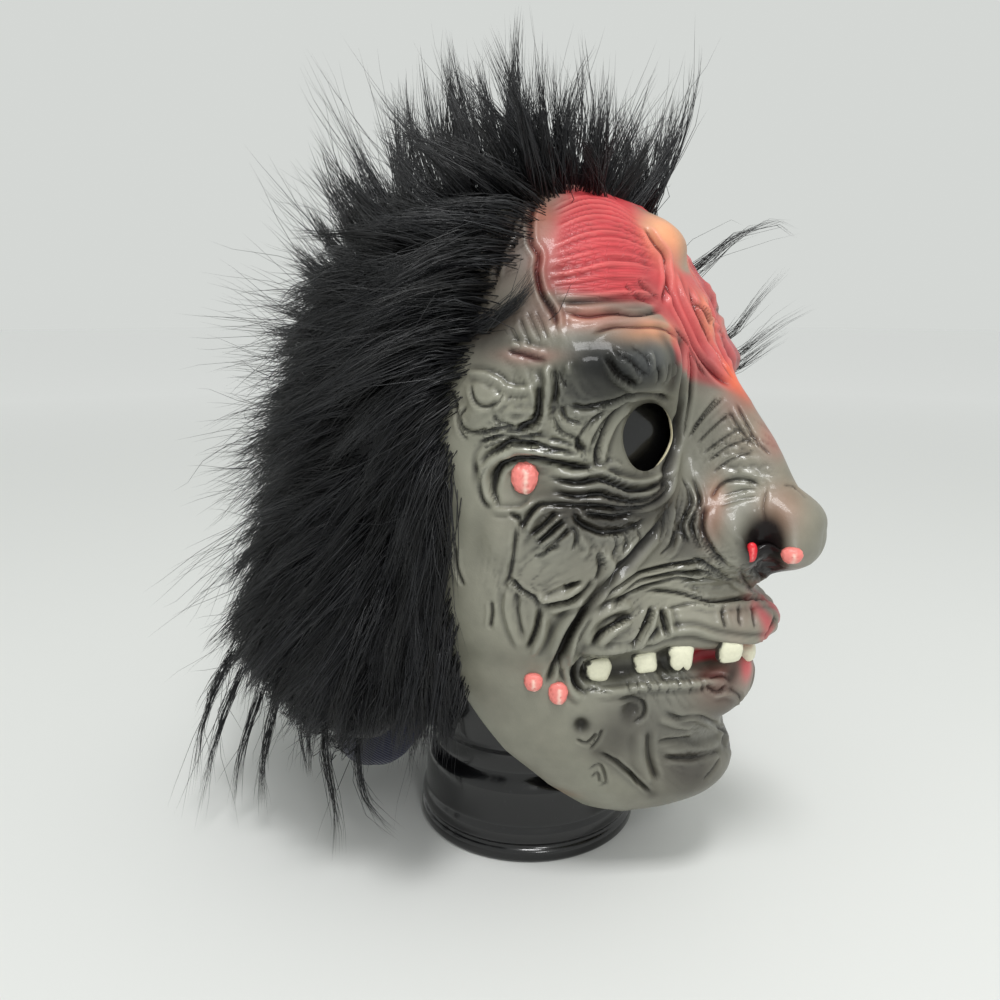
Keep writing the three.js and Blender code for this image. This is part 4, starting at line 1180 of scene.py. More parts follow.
def add_wart(place, wide, high, out, detail, tints=(WART_PINK, WART_PALE, WART_SHADE_RED), pitted=1.0):
    """A pressed ball with pits, pink with a pale streak, and a deeper red as painted shade in its pits and at
    its foot.
    """
    across, outward, upward = frame_at(place)
    verts = bmesh.ops.create_icosphere(cast_on, subdivisions=detail, radius=1)["verts"]
    seed = place[0]
    for vert in verts:
        p = vert.co.copy()
        p /= (abs(p.x) ** WART_POWER + abs(p.z) ** WART_POWER + abs(p.y) ** WART_POWER) ** (1 / WART_POWER)
        p.x *= 1 - 0.2 * max(0, -p.z) * pitted
        pits = perlin.noise(p * 3.2 + Vector((seed, 0, 0))) + 0.5 * perlin.noise(p * 7 + Vector((0, seed, 0)))
        grow = 1 + 0.07 * pits * pitted
        off_centre = across * (p.x * wide / 2) + outward * (p.y * out) + upward * (p.z * high / 2)
        vert.co = Vector(place) + off_centre * grow
        streak = math.exp(-(((p.x - 0.1) / 0.22) ** 2)) * (0.8 + pits) * (p.z < 0.6)
        # painted shade: deeper red in the sunk pits and at the foot, where the wart meets the skin
        deep = max(0, -pits - 0.3) * 0.9 + max(0, 0.3 - p.y) * 0.9
        tint = [a + (b - a) * min(1, max(0, streak)) for a, b in zip(tints[0], tints[1])]
        vert[tint_layer] = (*(a + (b - a) * min(1, deep) for a, b in zip(tint, tints[2])), 1)
    for f in {f for vert in verts for f in vert.link_faces}:
        f.smooth = True
        f.material_index = 0


sheet_tree = tree_of(sheet)


def shown_at(view, x, y):
    """The place on the finished sheet that a point of a view shows."""
    pixel = in_picture(view, x, y)
    hit = sheet_tree.ray_cast(CAMERA_PLACE, picture_ray(*pixel))[0]
    return hit or sheet_tree.find_nearest(on_face(*pixel))[0]


for view, x, y, *shape_of_wart in WARTS:
    add_wart(shown_at(view, x, y), *shape_of_wart)
add_wart(shown_at(*DRIP[:3]), *DRIP[3:], tints=DRIP_TINTS, pitted=0.15)
for place, wide, high in LEFT_WARTS:
    add_wart(sheet_tree.find_nearest(place)[0], wide, high, 2.6, 4)


def finish_mesh(bm, name):
    """Turns a bmesh in millimetres into an object in metres, at the origin."""
    for vert in bm.verts:
        vert.co *= MM
    mesh = bpy.data.meshes.new(name)
    bm.to_mesh(mesh)
    bm.free()
    made = bpy.data.objects.new(name, mesh)
    scene.collection.objects.link(made)
    return made


cast_mesh = bpy.data.meshes.new("cast_on")
cast_on.to_mesh(cast_mesh)
face.from_mesh(cast_mesh)
bpy.data.meshes.remove(cast_mesh)
face_object = finish_mesh(face, "painted_latex_face")
triangles = sum(len(polygon.vertices) - 2 for polygon in face_object.data.polygons)
print("latex face:", triangles, "triangles")

# %% [markdown]
# ## Latex and paint
# Cast latex is soft and a little waxy. Its paint is rubber paint under a thin clear coat, so small bright
# glints run along each fold, and smooth places shine softly. The grain of the sponge and the airbrush is
# about half a millimetre wide. The raw latex at the cut edges and inside has no paint: it is a matt yellowish
# cream.

# %% Make the latex materials
# rubber paint sprayed over cast latex: half matt, under a thin clear coat that gives the small bright glints
painted, shader = new_material("airbrushed_latex", IOR=1.5, Coat_Roughness=0.1)
coords = node(painted, "TexCoord").outputs["Object"]
own_paint = node(painted, "Attribute", attribute_name="paint")
mottle = node(painted, "TexNoise", {"Vector": coords}, in_Scale=140.0, in_Detail=5.0)
light = node(painted, "MapRange", {"Value": mottle}, in_To_Min=0.8, in_To_Max=1.18)
# each point knows how far it is from the nearest stroke, how far along it and how deep that is, so a crease
# as fine as the clay tool left runs down every stroke, and finer ones beside it
own_crease = node(painted, "Attribute", attribute_name="crease")
wrinkles = node(painted, "Attribute", attribute_name="wrinkled")
crease_parts = node(painted, "SeparateXYZ", {"Vector": own_crease.outputs["Vector"]})
across_it = node(painted, "Math", {0: crease_parts.outputs["X"]}, operation="DIVIDE", in_1=0.42)
squared = node(painted, "Math", {0: across_it, 1: across_it}, operation="MULTIPLY")
groove = node(painted, "Math", {1: squared}, operation="POWER", in_0=0.37)
groove = node(painted, "Math", {0: groove, 1: crease_parts.outputs["Z"]}, operation="MULTIPLY")
stretched = node(
    painted, "VectorMath", {0: own_crease.outputs["Vector"]}, operation="MULTIPLY", in_1=(0.45, 0.1, 0.0)
)
hatching = node(painted, "TexNoise", {"Vector": stretched}, in_Scale=1.0, in_Detail=2.0)
off_middle = node(painted, "Math", {0: hatching}, operation="SUBTRACT", in_1=0.5)
off_middle = node(painted, "Math", {0: off_middle}, operation="ABSOLUTE")
hatch = node(painted, "MapRange", {"Value": off_middle}, in_From_Max=0.08, in_To_Min=0.45, in_To_Max=0.0)
hatch = node(painted, "Math", {0: hatch, 1: wrinkles.outputs["Fac"]}, operation="MULTIPLY")
beside = node(painted, "MapRange", {"Value": crease_parts.outputs["Z"]}, in_From_Max=0.3, in_To_Min=0.12)
hatch = node(painted, "Math", {0: hatch, 1: beside}, operation="MULTIPLY")
cut = node(painted, "Math", {0: groove, 1: hatch}, operation="ADD")
# dark wash and painted shade: the base colour darkens down each crease and the fine ones beside it
crease_wash_and_shade = node(painted, "MapRange", {"Value": cut}, in_To_Min=1.0, in_To_Max=0.65)
light = node(painted, "Math", {0: light, 1: crease_wash_and_shade}, operation="MULTIPLY")
tinted = node(painted, "VectorMath", {0: own_paint.outputs["Color"], "Scale": light}, operation="SCALE")
feed(shader, Base_Color=tinted)
patches = node(painted, "TexNoise", {"Vector": coords}, in_Scale=60.0, in_Detail=3.0)
satin = node(painted, "MapRange", {"Value": wrinkles.outputs["Fac"]}, in_To_Min=0.3, in_To_Max=0.08)
rough = node(painted, "MapRange", {"Value": patches}, in_To_Min=0.12, in_To_Max=0.26)
rough = node(painted, "Math", {0: rough, 1: satin}, operation="ADD")
feed(shader, Roughness=rough)
gloss = node(painted, "MapRange", {"Value": wrinkles.outputs["Fac"]}, in_To_Min=0.16, in_To_Max=0.85)
feed(shader, Coat_Weight=gloss)
# the black paint is thick and hides the waxy latex, so it gives back less of the pale light around it
dim = node(
    painted, "MapRange", {"Value": own_paint.outputs["Fac"]}, in_From_Min=0.015, in_From_Max=0.16,
    in_To_Min=0.12, in_To_Max=0.5,
)
feed(shader, Specular_IOR_Level=dim)
grain = node(painted, "TexNoise", {"Vector": coords}, in_Scale=1400.0, in_Detail=3.0)
waves = node(painted, "TexNoise", {"Vector": coords}, in_Scale=420.0, in_Detail=2.0)
both = node(painted, "Math", {0: grain, 1: waves}, operation="ADD")
carved = node(painted, "Bump", {"Height": cut}, invert=True, in_Strength=1.0, in_Distance=0.0005)
bump = node(painted, "Bump", {"Height": both, "Normal": carved}, in_Strength=0.25, in_Distance=0.0003)
feed(shader, Normal=bump)

# raw cast latex: it has no paint, so a cut edge is a dry yellowish cream with small pits
raw_latex, shader = new_material("raw_cast_latex", Roughness=0.55, IOR=1.5, Coat_Weight=0.0)
coords = node(raw_latex, "TexCoord").outputs["Object"]
clouds = node(raw_latex, "TexNoise", {"Vector": coords}, in_Scale=90.0, in_Detail=4.0)
ramp = node(
    raw_latex, "Mix", {"Factor": clouds}, data_type="RGBA", in_A=rgba("#cfc39c"), in_B=rgba("#e6dfc4")
)
feed(shader, Base_Color=ramp.outputs["Result"])
pits = node(raw_latex, "TexNoise", {"Vector": coords}, in_Scale=900.0, in_Detail=3.0)
bump = node(raw_latex, "Bump", {"Height": pits}, in_Strength=0.3, in_Distance=0.0003)
feed(shader, Normal=bump)

# acrylic brushed on by hand: cream and half matt, and the streaks of the brush break up its shine
enamel, shader = new_material("brushed_cream_paint", IOR=1.5, Coat_Weight=0.1, Coat_Roughness=0.2)
coords = node(enamel, "TexCoord").outputs["Object"]
own_paint = node(enamel, "Attribute", attribute_name="paint")
strokes = node(enamel, "TexNoise", {"Vector": coords}, in_Scale=700.0, in_Detail=4.0)
light = node(enamel, "MapRange", {"Value": strokes}, in_To_Min=0.86, in_To_Max=1.1)
tinted = node(enamel, "VectorMath", {0: own_paint.outputs["Color"], "Scale": light}, operation="SCALE")
feed(shader, Base_Color=tinted)
rough = node(enamel, "MapRange", {"Value": strokes}, in_To_Min=0.3, in_To_Max=0.5)
feed(shader, Roughness=rough)
bump = node(enamel, "Bump", {"Height": strokes}, in_Strength=0.4, in_Distance=0.0004)
feed(shader, Normal=bump)

for material in (painted, raw_latex, enamel):
    face_object.data.materials.append(material)
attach(face_object, "root")
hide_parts("latex_face")
print("materials:", [material.name for material in face_object.data.materials])

# %% [markdown]
# ## The display head
# The head that holds the mask up is blow-moulded plastic, sprayed gloss black. It has no features, only an
# egg on a round neck with a waist and a double ring at the foot. A circle is the natural start: its edge is
# extruded upwards ring by ring, and each ring takes the half width and reach of its height. The hood is built
# on rings in the same way.

# %% Build the display head
# height, half width, reach to the front, reach to the back, middle
FORM_LEVELS = [
    (264, 36, 38, 41, 10), (248, 55, 58, 63, 9), (226, 68, 73, 79, 8), (200, 73, 80, 86, 7),
    (170, 73, 80, 85, 6), (140, 69, 77, 79, 4), (110, 61, 69, 68, 2), (88, 52, 55, 57, 0),
    (72, 47.5, 46.5, 48.5, 0), (58, 47, 46.6, 47.2, 0), (51, 46.4, 46.4, 46.4, 0), (46, 43.6, 43.6, 43.6, 0),
    (38, 43, 43, 43, 0), (34, 45.6, 45.6, 45.6, 0), (31, 47.2, 47.2, 47.2, 0), (26, 47.6, 47.6, 47.6, 0),
    (16, 48, 48, 48, 0), (13, 49.4, 49.4, 49.4, 0), (9, 49.8, 49.8, 49.8, 0), (7, 48.4, 48.4, 48.4, 0),
    (5, 50.4, 50.4, 50.4, 0), (1.2, 50.4, 50.4, 50.4, 0), (0, 49.4, 49.4, 49.4, 0),
]  # fmt: skip
FORM_CROWN = 9
CROWN_RINGS = 12
FORM_SEGMENTS = 128


def ring_at(levels, z, segments, grown=0.0, shrink=1.0):
    """Points round a body at one height, in the order in which create_circle makes them."""
    angles = math.pi - np.linspace(0, 2 * math.pi, segments, endpoint=False)
    half, front, back, middle = (read_levels(levels, k, np.full(1, float(z)))[0] for k in (1, 2, 3, 4))
    reach = np.where(np.cos(angles) > 0, front, back)
    x = -(half + grown) * shrink * np.sin(angles)
    y = middle - (reach + grown) * shrink * np.cos(angles)
    return np.stack([x, y, np.full_like(x, z)], -1)


def body_rings(levels, heights, crown, segments, grown=0.0):
    """All the rings of a body, with those of its rounded crown."""
    rings = [ring_at(levels, z, segments, grown) for z in heights]
    top = levels[0][0]
    for k in range(1, CROWN_RINGS):
        share = k / CROWN_RINGS * math.pi / 2
        ring = ring_at(levels, top, segments, grown, math.cos(share))
        ring[:, 2] = top + (crown + grown) * math.sin(share)
        rings.append(ring)
    return np.array(rings)


def raise_rings(rings, foot_cap):
    """A bmesh whose circle is extruded upwards through rings of points, with its crown closed."""
    bm = bmesh.new()
    slot = bm.verts.layers.int.new("slot")
    for k, vert in enumerate(bmesh.ops.create_circle(bm, segments=len(rings[0]), radius=1)["verts"]):
        vert[slot] = k
        vert.co = rings[0][k]
    edges = list(bm.edges)
    if foot_cap:
        bmesh.ops.contextual_create(bm, geom=edges)
    for ring in rings[1:]:
        made = bmesh.ops.extrude_edge_only(bm, edges=edges)["geom"]
        edges = [item for item in made if isinstance(item, bmesh.types.BMEdge)]
        for vert in (item for item in made if isinstance(item, bmesh.types.BMVert)):
            vert.co = ring[vert[slot]]
    bmesh.ops.contextual_create(bm, geom=edges)
    bmesh.ops.recalc_face_normals(bm, faces=bm.faces)
    return bm


form_heights = np.concatenate([np.linspace(0, 20, 31), np.linspace(21, 56, 32), np.linspace(59, 264, 62)])
form = raise_rings(body_rings(FORM_LEVELS, form_heights, FORM_CROWN, FORM_SEGMENTS), True)
for f in form.faces:
    f.smooth = len(f.verts) == 4
form_object = finish_mesh(form, "gloss_head_form")
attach(form_object, "root")
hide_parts("head_form")

# sprayed lacquer on blown plastic: deep black with a wet shine, faint orange peel and a little dust
lacquer, shader = new_material("gloss_black_lacquer", IOR=1.45, Coat_Weight=0.4, Coat_Roughness=0.04)
coords = node(lacquer, "TexCoord").outputs["Object"]
peel = node(lacquer, "TexNoise", {"Vector": coords}, in_Scale=220.0, in_Detail=2.0)
bump = node(lacquer, "Bump", {"Height": peel}, in_Strength=0.12, in_Distance=0.0004)
feed(shader, Normal=bump)
dust = node(lacquer, "TexNoise", {"Vector": coords}, in_Scale=1500.0, in_Detail=2.0)
specks = node(lacquer, "MapRange", {"Value": dust}, in_From_Min=0.68, in_From_Max=0.76, in_To_Max=0.35)
black = node(lacquer, "Mix", {"Factor": specks}, data_type="RGBA", in_A=rgba("#0b0b0d"), in_B=rgba("#5d6064"))
feed(shader, Base_Color=black.outputs["Result"])
smears = node(lacquer, "TexNoise", {"Vector": coords}, in_Scale=35.0, in_Detail=4.0)
rough = node(lacquer, "MapRange", {"Value": smears}, in_To_Min=0.1, in_To_Max=0.34)
feed(shader, Roughness=rough)
form_object.data.materials.append(lacquer)
print("display head:", len(form_object.data.polygons), "faces")

# %% [markdown]
# ## The knitted backing of the hood
# Fake fur is woven into a thin stretchy knit, and here the knit is navy. It shows only as a hem under the fur
# on both sides of the neck. It is a sheet of cloth: rings follow the display head down to its widest part and
# then hang straight to a hem that sags a little behind, everything in front of the hairline is deleted, and
# the sheet gets its thickness last.

# %% Make the knitted backing
HOOD_FOOT = 41
LINING_LEVELS = [
    (264, 37.2, 39.2, 42.2, 10), (248, 56.2, 59.2, 64.2, 9), (226, 69.2, 74.2, 80.2, 8),
    (200, 74.2, 81.2, 87.2, 7), (170, 75, 80.5, 87.5, 6.5), (120, 75, 77, 87, 7),
    (60, 74.5, 74, 86, 8), (10, 74, 74, 84, 8),
]  # fmt: skip
# height, how far back the fur begins
HAIRLINE = [
    (350, -38), (290, -34), (268, -22), (245, -16), (200, -10.5), (140, -6.5), (112, -6.5), (80, -1), (30, 4),
]  # fmt: skip
KNIT_THICK = 1.5
KNIT_GAP = 0.7
HOOD_ROWS, HOOD_SEGMENTS = 64, 144
CORNER_RISE, CORNER_REACH, KNIT_SAG = 30, 16, 15


def hairline_y(z):
    """How far back the fur begins at a height."""
    return read_levels(HAIRLINE, 1, np.asarray(z, float))


def hem_height(y, low, sag):
    """The hem, which rises in a round corner where it meets the latex, dips at the sides and sags behind."""
    behind = y - hairline_y(np.full_like(y, low + 20))
    corner = CORNER_RISE * np.exp(-np.maximum(behind, 0) / CORNER_REACH)
    return low + corner - 2.5 * np.exp(-(((y - 30) / 25) ** 2)) - sag * np.clip((y - 30) / 60, 0, 1)


def lift_hem(rings, low, top, sag=0):
    """Squeezes the rings upwards so that the lowest follows the hem."""
    for k in range(len(rings[0])):
        z = rings[:, k, 2]
        hem = hem_height(rings[:1, k, 1], low, sag)[0]
        inside = z < top
        rings[inside, k, 2] = hem + (z[inside] - low) * (top - hem) / (top - low)
    return rings


def cut_hairline(bm):
    """Deletes what lies in front of the hairline."""
    places = np.array([vert.co for vert in bm.verts])
    cut_away(bm, dict(zip(bm.verts, places[:, 1] - hairline_y(places[:, 2]))), 9)
    bmesh.ops.remove_doubles(bm, verts=bm.verts, dist=0.3)
    bmesh.ops.recalc_face_normals(bm, faces=bm.faces)


knit_heights = np.linspace(HOOD_FOOT, 264, HOOD_ROWS)
knit_rings = body_rings(LINING_LEVELS, knit_heights, FORM_CROWN, HOOD_SEGMENTS, KNIT_GAP)
knit = raise_rings(lift_hem(knit_rings, HOOD_FOOT, 110, KNIT_SAG), False)
cut_hairline(knit)
knit_area = sum(f.calc_area() for f in knit.faces) * MM * MM
bmesh.ops.solidify(knit, geom=list(knit.faces), thickness=-KNIT_THICK)
for f in knit.faces:
    f.smooth = True
knit_object = finish_mesh(knit, "navy_knit_backing")
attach(knit_object, "root")
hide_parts("fur_hood")
print("knit covers", round(knit_area, 4), "square metres")

# a fine polyester knit: rows of small loops 1.2 mm apart, matt, with a soft sheen at the edge
knit_cloth, shader = new_material("navy_polyester_knit", Roughness=0.85, Sheen_Weight=0.3, Sheen_Roughness=0.4)
coords = node(knit_cloth, "TexCoord").outputs["Object"]
courses = node(
    knit_cloth, "TexWave", {"Vector": coords}, bands_direction="Z", in_Scale=265.0,
    in_Distortion=1.5,
)
tone = node(
    knit_cloth, "Mix", {"Factor": courses.outputs["Fac"]}, data_type="RGBA", in_A=rgba("#080a20"),
    in_B=rgba("#141938"),
)
feed(shader, Base_Color=tone.outputs["Result"])
bump = node(knit_cloth, "Bump", {"Height": courses.outputs["Fac"]}, in_Strength=0.5, in_Distance=0.0004)
feed(shader, Normal=bump)
knit_object.data.materials.append(knit_cloth)

# %% [markdown]
# ## The dense fur under the locks
# Close to the backing the pile is so dense that no light comes through. That part is a dark lumpy shell,
# which starts flat at the hairline and swells behind it to the depth of the fur. It gives the locks something
# to grow from, and it closes the gaps between them.

# %% Make the dense underfur
FUR_LEVELS = [
    (296, 24, 24, 28, 8), (286, 50, 44, 54, 12), (262, 78, 66, 84, 18), (230, 96, 76, 104, 22),
    (190, 104, 76, 114, 25), (140, 104, 72, 115, 26), (90, 102, 71, 114, 26),
    (54, 96, 64, 108, 24), (42, 86, 52, 92, 22),
]  # fmt: skip
FUR_CROWN = 4
UNDER_FOOT = 57
# height, how much thinner the dense fur is than the whole mass
UNDER_DEPTHS = [
    (300, 17, 0), (262, 22, 0), (230, 28, 0), (190, 26, 0), (140, 18, 0), (90, 5, 0), (60, 0, 0), (40, 2, 0),
]  # fmt: skip
SWELL_REACH = 30
UNDER_WALL, LEAST_PILE = 3.0, 3.5


def under_rings():
    """The rings of the dense fur: a flat edge at the hairline, and the depth of the pile behind it."""
    outer = body_rings(FUR_LEVELS, np.linspace(UNDER_FOOT, 296, HOOD_ROWS), FUR_CROWN, HOOD_SEGMENTS)
    inner = body_rings(LINING_LEVELS, np.linspace(UNDER_FOOT, 264, HOOD_ROWS), FORM_CROWN, HOOD_SEGMENTS, 3.2)
    inward = outer - np.array((0, 18, 0))
    inward[..., 2] = np.maximum(outer[..., 2] - 215, 0) * 1.3
    inward /= norm(inward, axis=2, keepdims=True)
    outer = outer - inward * read_levels(UNDER_DEPTHS, 1, outer[..., 2])[..., None]
    outer += inward * np.maximum(LEAST_PILE - ((outer - inner) * inward).sum(2), 0)[..., None]
    behind = outer[..., 1] - hairline_y(outer[..., 2])
    swell = np.clip(behind / SWELL_REACH, 0, 1)
    swell = (swell * (2 - swell)) ** 0.8
    foot_tuck = np.clip((outer[..., 2] - UNDER_FOOT) / 22, 0, 1) ** 0.5
    amount = (swell * (0.35 + 0.65 * foot_tuck))[..., None]
    return inner + (outer - inner) * amount


fur_rings = lift_hem(under_rings(), UNDER_FOOT, 120)
clump_noise = blur_both(rng.normal(size=fur_rings.shape[:2]), 1.6)
clump_noise /= clump_noise.std()
from_axis = fur_rings * (1, 1, 0) - np.array((0, 20, 0))
from_axis /= norm(from_axis, axis=2, keepdims=True)
calm_on_top = np.clip((258 - fur_rings[..., 2:]) / 30, 0, 1)
lumpy_rings = fur_rings + from_axis * (1.1 * clump_noise)[..., None] * calm_on_top
under = raise_rings(lumpy_rings, False)
cut_hairline(under)
bmesh.ops.solidify(under, geom=list(under.faces), thickness=UNDER_WALL)
for f in under.faces:
    f.smooth = True
under_object = finish_mesh(under, "dense_underfur")
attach(under_object, "root")
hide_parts("fur_hood")

# modacrylic pile: dyed black, seen end on it is nearly lightless, with a broken sheen where it lies flat
underfur, shader = new_material("dense_black_pile", Roughness=0.8, Sheen_Weight=0.12, Sheen_Roughness=0.5)
coords = node(underfur, "TexCoord").outputs["Object"]
stretch = node(underfur, "Mapping", {"Vector": coords}, in_Scale=(1.0, 0.5, 0.22))
streaks = node(underfur, "TexNoise", {"Vector": stretch}, in_Scale=900.0, in_Detail=4.0)
tone = node(
    underfur, "Mix", {"Factor": streaks}, data_type="RGBA", in_A=rgba("#040406"), in_B=rgba("#15161b")
)
feed(shader, Base_Color=tone.outputs["Result"])
bump = node(underfur, "Bump", {"Height": streaks}, in_Strength=0.9, in_Distance=0.0012)
feed(shader, Normal=bump)
under_object.data.materials.append(underfur)
print("underfur:", len(under_object.data.polygons), "faces")

# %% [markdown]
# ## Locks of long fur
# Long pile never stands as single even hairs. It draws together in pointed locks, each with a root as wide as
# a finger and a tip as fine as a needle, and a few hairs escape. So each lock gets one centre line, which
# leaves the hood on the slope that the photograph shows at that height, and follows its surface. The hairs of
# a lock start spread round that line and close in on it. Near the face they hang straight down, at the sides
# they sweep back, and over the brow they stand up wild.

# %% Plan the locks
LOCKS, HAIRS = 742, 32
LOCK_STEPS = 10
# height of the root, slope over the level at the root and at the tip in degrees, length in mm
LOCK_SLOPES = [
    (290, 80, 74, 60), (276, 62, 74, 58), (256, 40, 60, 54), (230, 6, 16, 52), (190, -30, -26, 50),
    (150, -50, -48, 56), (110, -54, -60, 70), (62, -50, -76, 68),
]  # fmt: skip
LOCK_SPACING = 6.5
FACE_EDGE_REACH = 20
EDGE_SPACING, BROW_HALF = 2.2, 34
# heights, and how far a lock of the edge laps over the latex there, on the right and on the left
EDGE_LAPS = {-1: ((200, 225, 250, 262), (2.4, 9, 9, 4)), 1: ((205, 227), (0, 8))}
HEM_CLEAR, LONG_WISPS = 67, 0.05
LOOSE_LOCKS, LOOSE_LIFT = 14, 13
SIDE_SLOPES = -16, -36

hood_rows, hood_columns = fur_rings.shape[:2]
wrapped = np.concatenate([fur_rings, fur_rings[:, :1]], axis=1)
quads = [
    (k, k + 1, k + hood_columns + 2, k + hood_columns + 1)
    for k in range((hood_rows - 1) * (hood_columns + 1))
    if (k + 1) % (hood_columns + 1)
]
hood_tree = BVHTree.FromPolygons(wrapped.reshape(-1, 3).tolist(), quads)


def hood_near(place):
    """The nearest place on the underfur, its outward direction and how far out of it the given place is."""
    spot, normal, _, _ = hood_tree.find_nearest(place)
    if normal.dot(spot - Vector((0, 20, 150))) < 0:
        normal = -normal
    return spot, normal, (Vector(place) - spot).dot(normal)


def stands_apart(place, others):
    """Whether a root is far enough from all the others."""
    return all(
        abs(place - other).max() > LOCK_SPACING * 0.6 or norm(place - other) > LOCK_SPACING
        for other in others
    )


corners = wrapped[:-1, :-1], wrapped[1:, :-1], wrapped[:-1, 1:]
areas = norm(np.cross(corners[1] - corners[0], corners[2] - corners[0]), axis=2)
centres = wrapped[:-1, :-1] * 0.5 + wrapped[1:, 1:] * 0.5
usable = centres[..., 1] > hairline_y(centres[..., 2]) + 1.5
crowding = 1 - 0.3 * np.clip((centres[..., 2] - 245) / 20, 0, 1) + 0.5 * (centres[..., 0] < 0)
chances = (areas * usable * crowding).ravel()
picks = rng.choice(len(chances), 9000, p=chances / chances.sum())
roots = []
for pick in picks:
    i, j = divmod(int(pick), hood_columns)
    a, b = rng.random(2)
    place = wrapped[i, j] * (1 - a) * (1 - b) + wrapped[i + 1, j] * a * (1 - b)
    place = place + wrapped[i, j + 1] * (1 - a) * b + wrapped[i + 1, j + 1] * a * b
    if stands_apart(place, roots):
        roots.append(place)
    if len(roots) == LOCKS:
        break

# a row of locks stands right along the edge of the latex, on both sides and over the brow
edge = {-1: [], 1: []}
for ring in wrapped:
    behind = ring[:, 1] - hairline_y(ring[:, 2])
    for k in np.flatnonzero((behind[:-1] > 0) != (behind[1:] > 0)):
        share = behind[k] / (behind[k] - behind[k + 1])
        place = ring[k] + (ring[k + 1] - ring[k]) * share
        edge[-1 if place[0] < 0 else 1].append(place)
for side, row in edge.items():
    row = np.array(row)
    run = np.concatenate([[0], np.cumsum(norm(np.diff(row, axis=0), axis=1))])
    for at_run in np.arange(2, run[-1], EDGE_SPACING):
        place = np.array([np.interp(at_run + rng.normal(0, 1), run, row[:, axis]) for axis in range(3)])
        place += (0, rng.uniform(-3, 3), 0)
        lap = np.interp(place[2], *EDGE_LAPS[side]) * rng.uniform(0.3, 1.1)
        if lap > 0:
            spot, outward = face_tree.find_nearest(place - (0, lap + 2, 0))[:2]
            place = np.array(spot + outward * math.copysign(0.8, outward.dot(spot - Vector((0, 10, 150)))))
        roots.append(place)
for across in np.arange(-BROW_HALF, BROW_HALF, EDGE_SPACING):
    start = Vector((across, hairline_y(276) + rng.uniform(-6, 5), 400))
    spot = hood_tree.ray_cast(start, Vector((0, 0, -1)))[0]
    if spot:
        roots.append(np.array(spot))
roots = np.array(roots)
print(len(roots), "locks planned")

# %% Grow the centre lines
lines, sides = np.zeros((len(roots), LOCK_STEPS + 1, 3)), np.zeros((len(roots), 3))
out_of_root = np.zeros((len(roots), 3))
for k, root in enumerate(roots):
    start_slope, end_slope, length = (read_levels(LOCK_SLOPES, c, root[2:])[0] for c in (1, 2, 3))
    behind = root[1] - hairline_y(root[2:])[0]
    at_edge = math.exp(-((behind / FACE_EDGE_REACH) ** 2)) * np.clip((222 - root[2]) / 40, 0, 1)
    side_share = np.clip((abs(root[0]) - 30) / 28, 0, 1) * np.clip((115 - root[1]) / 40, 0, 1)
    side_share *= np.clip((root[2] - 130) / 60, 0, 1)
    start_slope += (SIDE_SLOPES[0] - start_slope) * side_share
    end_slope += (SIDE_SLOPES[1] - end_slope) * side_share
    start_slope += (-86 - start_slope) * at_edge
    end_slope += (-88 - end_slope) * at_edge
    wild = 1 + 1.2 * np.clip((root[2] - 250) / 30, 0, 1)
    start_slope += rng.normal(0, 7) * wild
    end_slope += rng.normal(0, 9) * wild
    yaw = math.radians(rng.normal(0, 11) * wild)
    length *= rng.uniform(0.72, 1.15)
    if root[1] < 122 and rng.random() > LONG_WISPS:
        drop = max(0.3, math.sin(math.radians(-min(-20, (start_slope + end_slope) / 2))))
        side_hem = 6 * min(1, max(0, (root[1] - 50) / 20))
        length = min(length, max(7, (root[2] - HEM_CLEAR - side_hem) / drop))
    lift = rng.uniform(0.16, 0.42)
    place = Vector(root)
    outward = hood_near(place)[1]
    lines[k, 0] = place - outward * 2
    out_of_root[k] = outward
    for step in range(LOCK_STEPS):
        share = (step + 0.5) / LOCK_STEPS
        normal = hood_near(place)[1]
        level = Vector((0, 0, 1)).cross(normal)
        if level.length < 0.2:
            level = Vector((1, 0, 0))
        level.normalize()
        if level.y < 0:
            level = -level
        back_pull = min(1, abs(level.y) * 1.6)
        outwards = Vector((normal.x, normal.y, 0))
        outwards = outwards.normalized() if outwards.length > 0.05 else Vector((0, 1, 0))
        slope = math.radians(start_slope + (end_slope - start_slope) * share)
        run = level * back_pull + outwards * (1.1 - back_pull)
        run.normalize()
        turned = run * math.cos(yaw) + run.cross(Vector((0, 0, 1))) * math.sin(yaw)
        heading = turned * math.cos(slope) + Vector((0, 0, 1)) * math.sin(slope)
        free = 1 if root[2] > 262 else 0
        heading = heading - normal * min(0, heading.dot(normal)) * (1 - 0.5 * free)
        heading = heading + normal * lift * (1 - 0.55 * share)
        heading.normalize()
        place = place + heading * (length / LOCK_STEPS)
        _, normal, out_by = hood_near(place)
        if out_by < 1.0:
            place = place + normal * (1.0 - out_by)
        lines[k, step + 1] = place
    way = Vector(lines[k, 3] - lines[k, 0])
    side_way = way.cross(outward + Vector((0.05, 0.02, 0.03)))
    sides[k] = side_way.normalized()

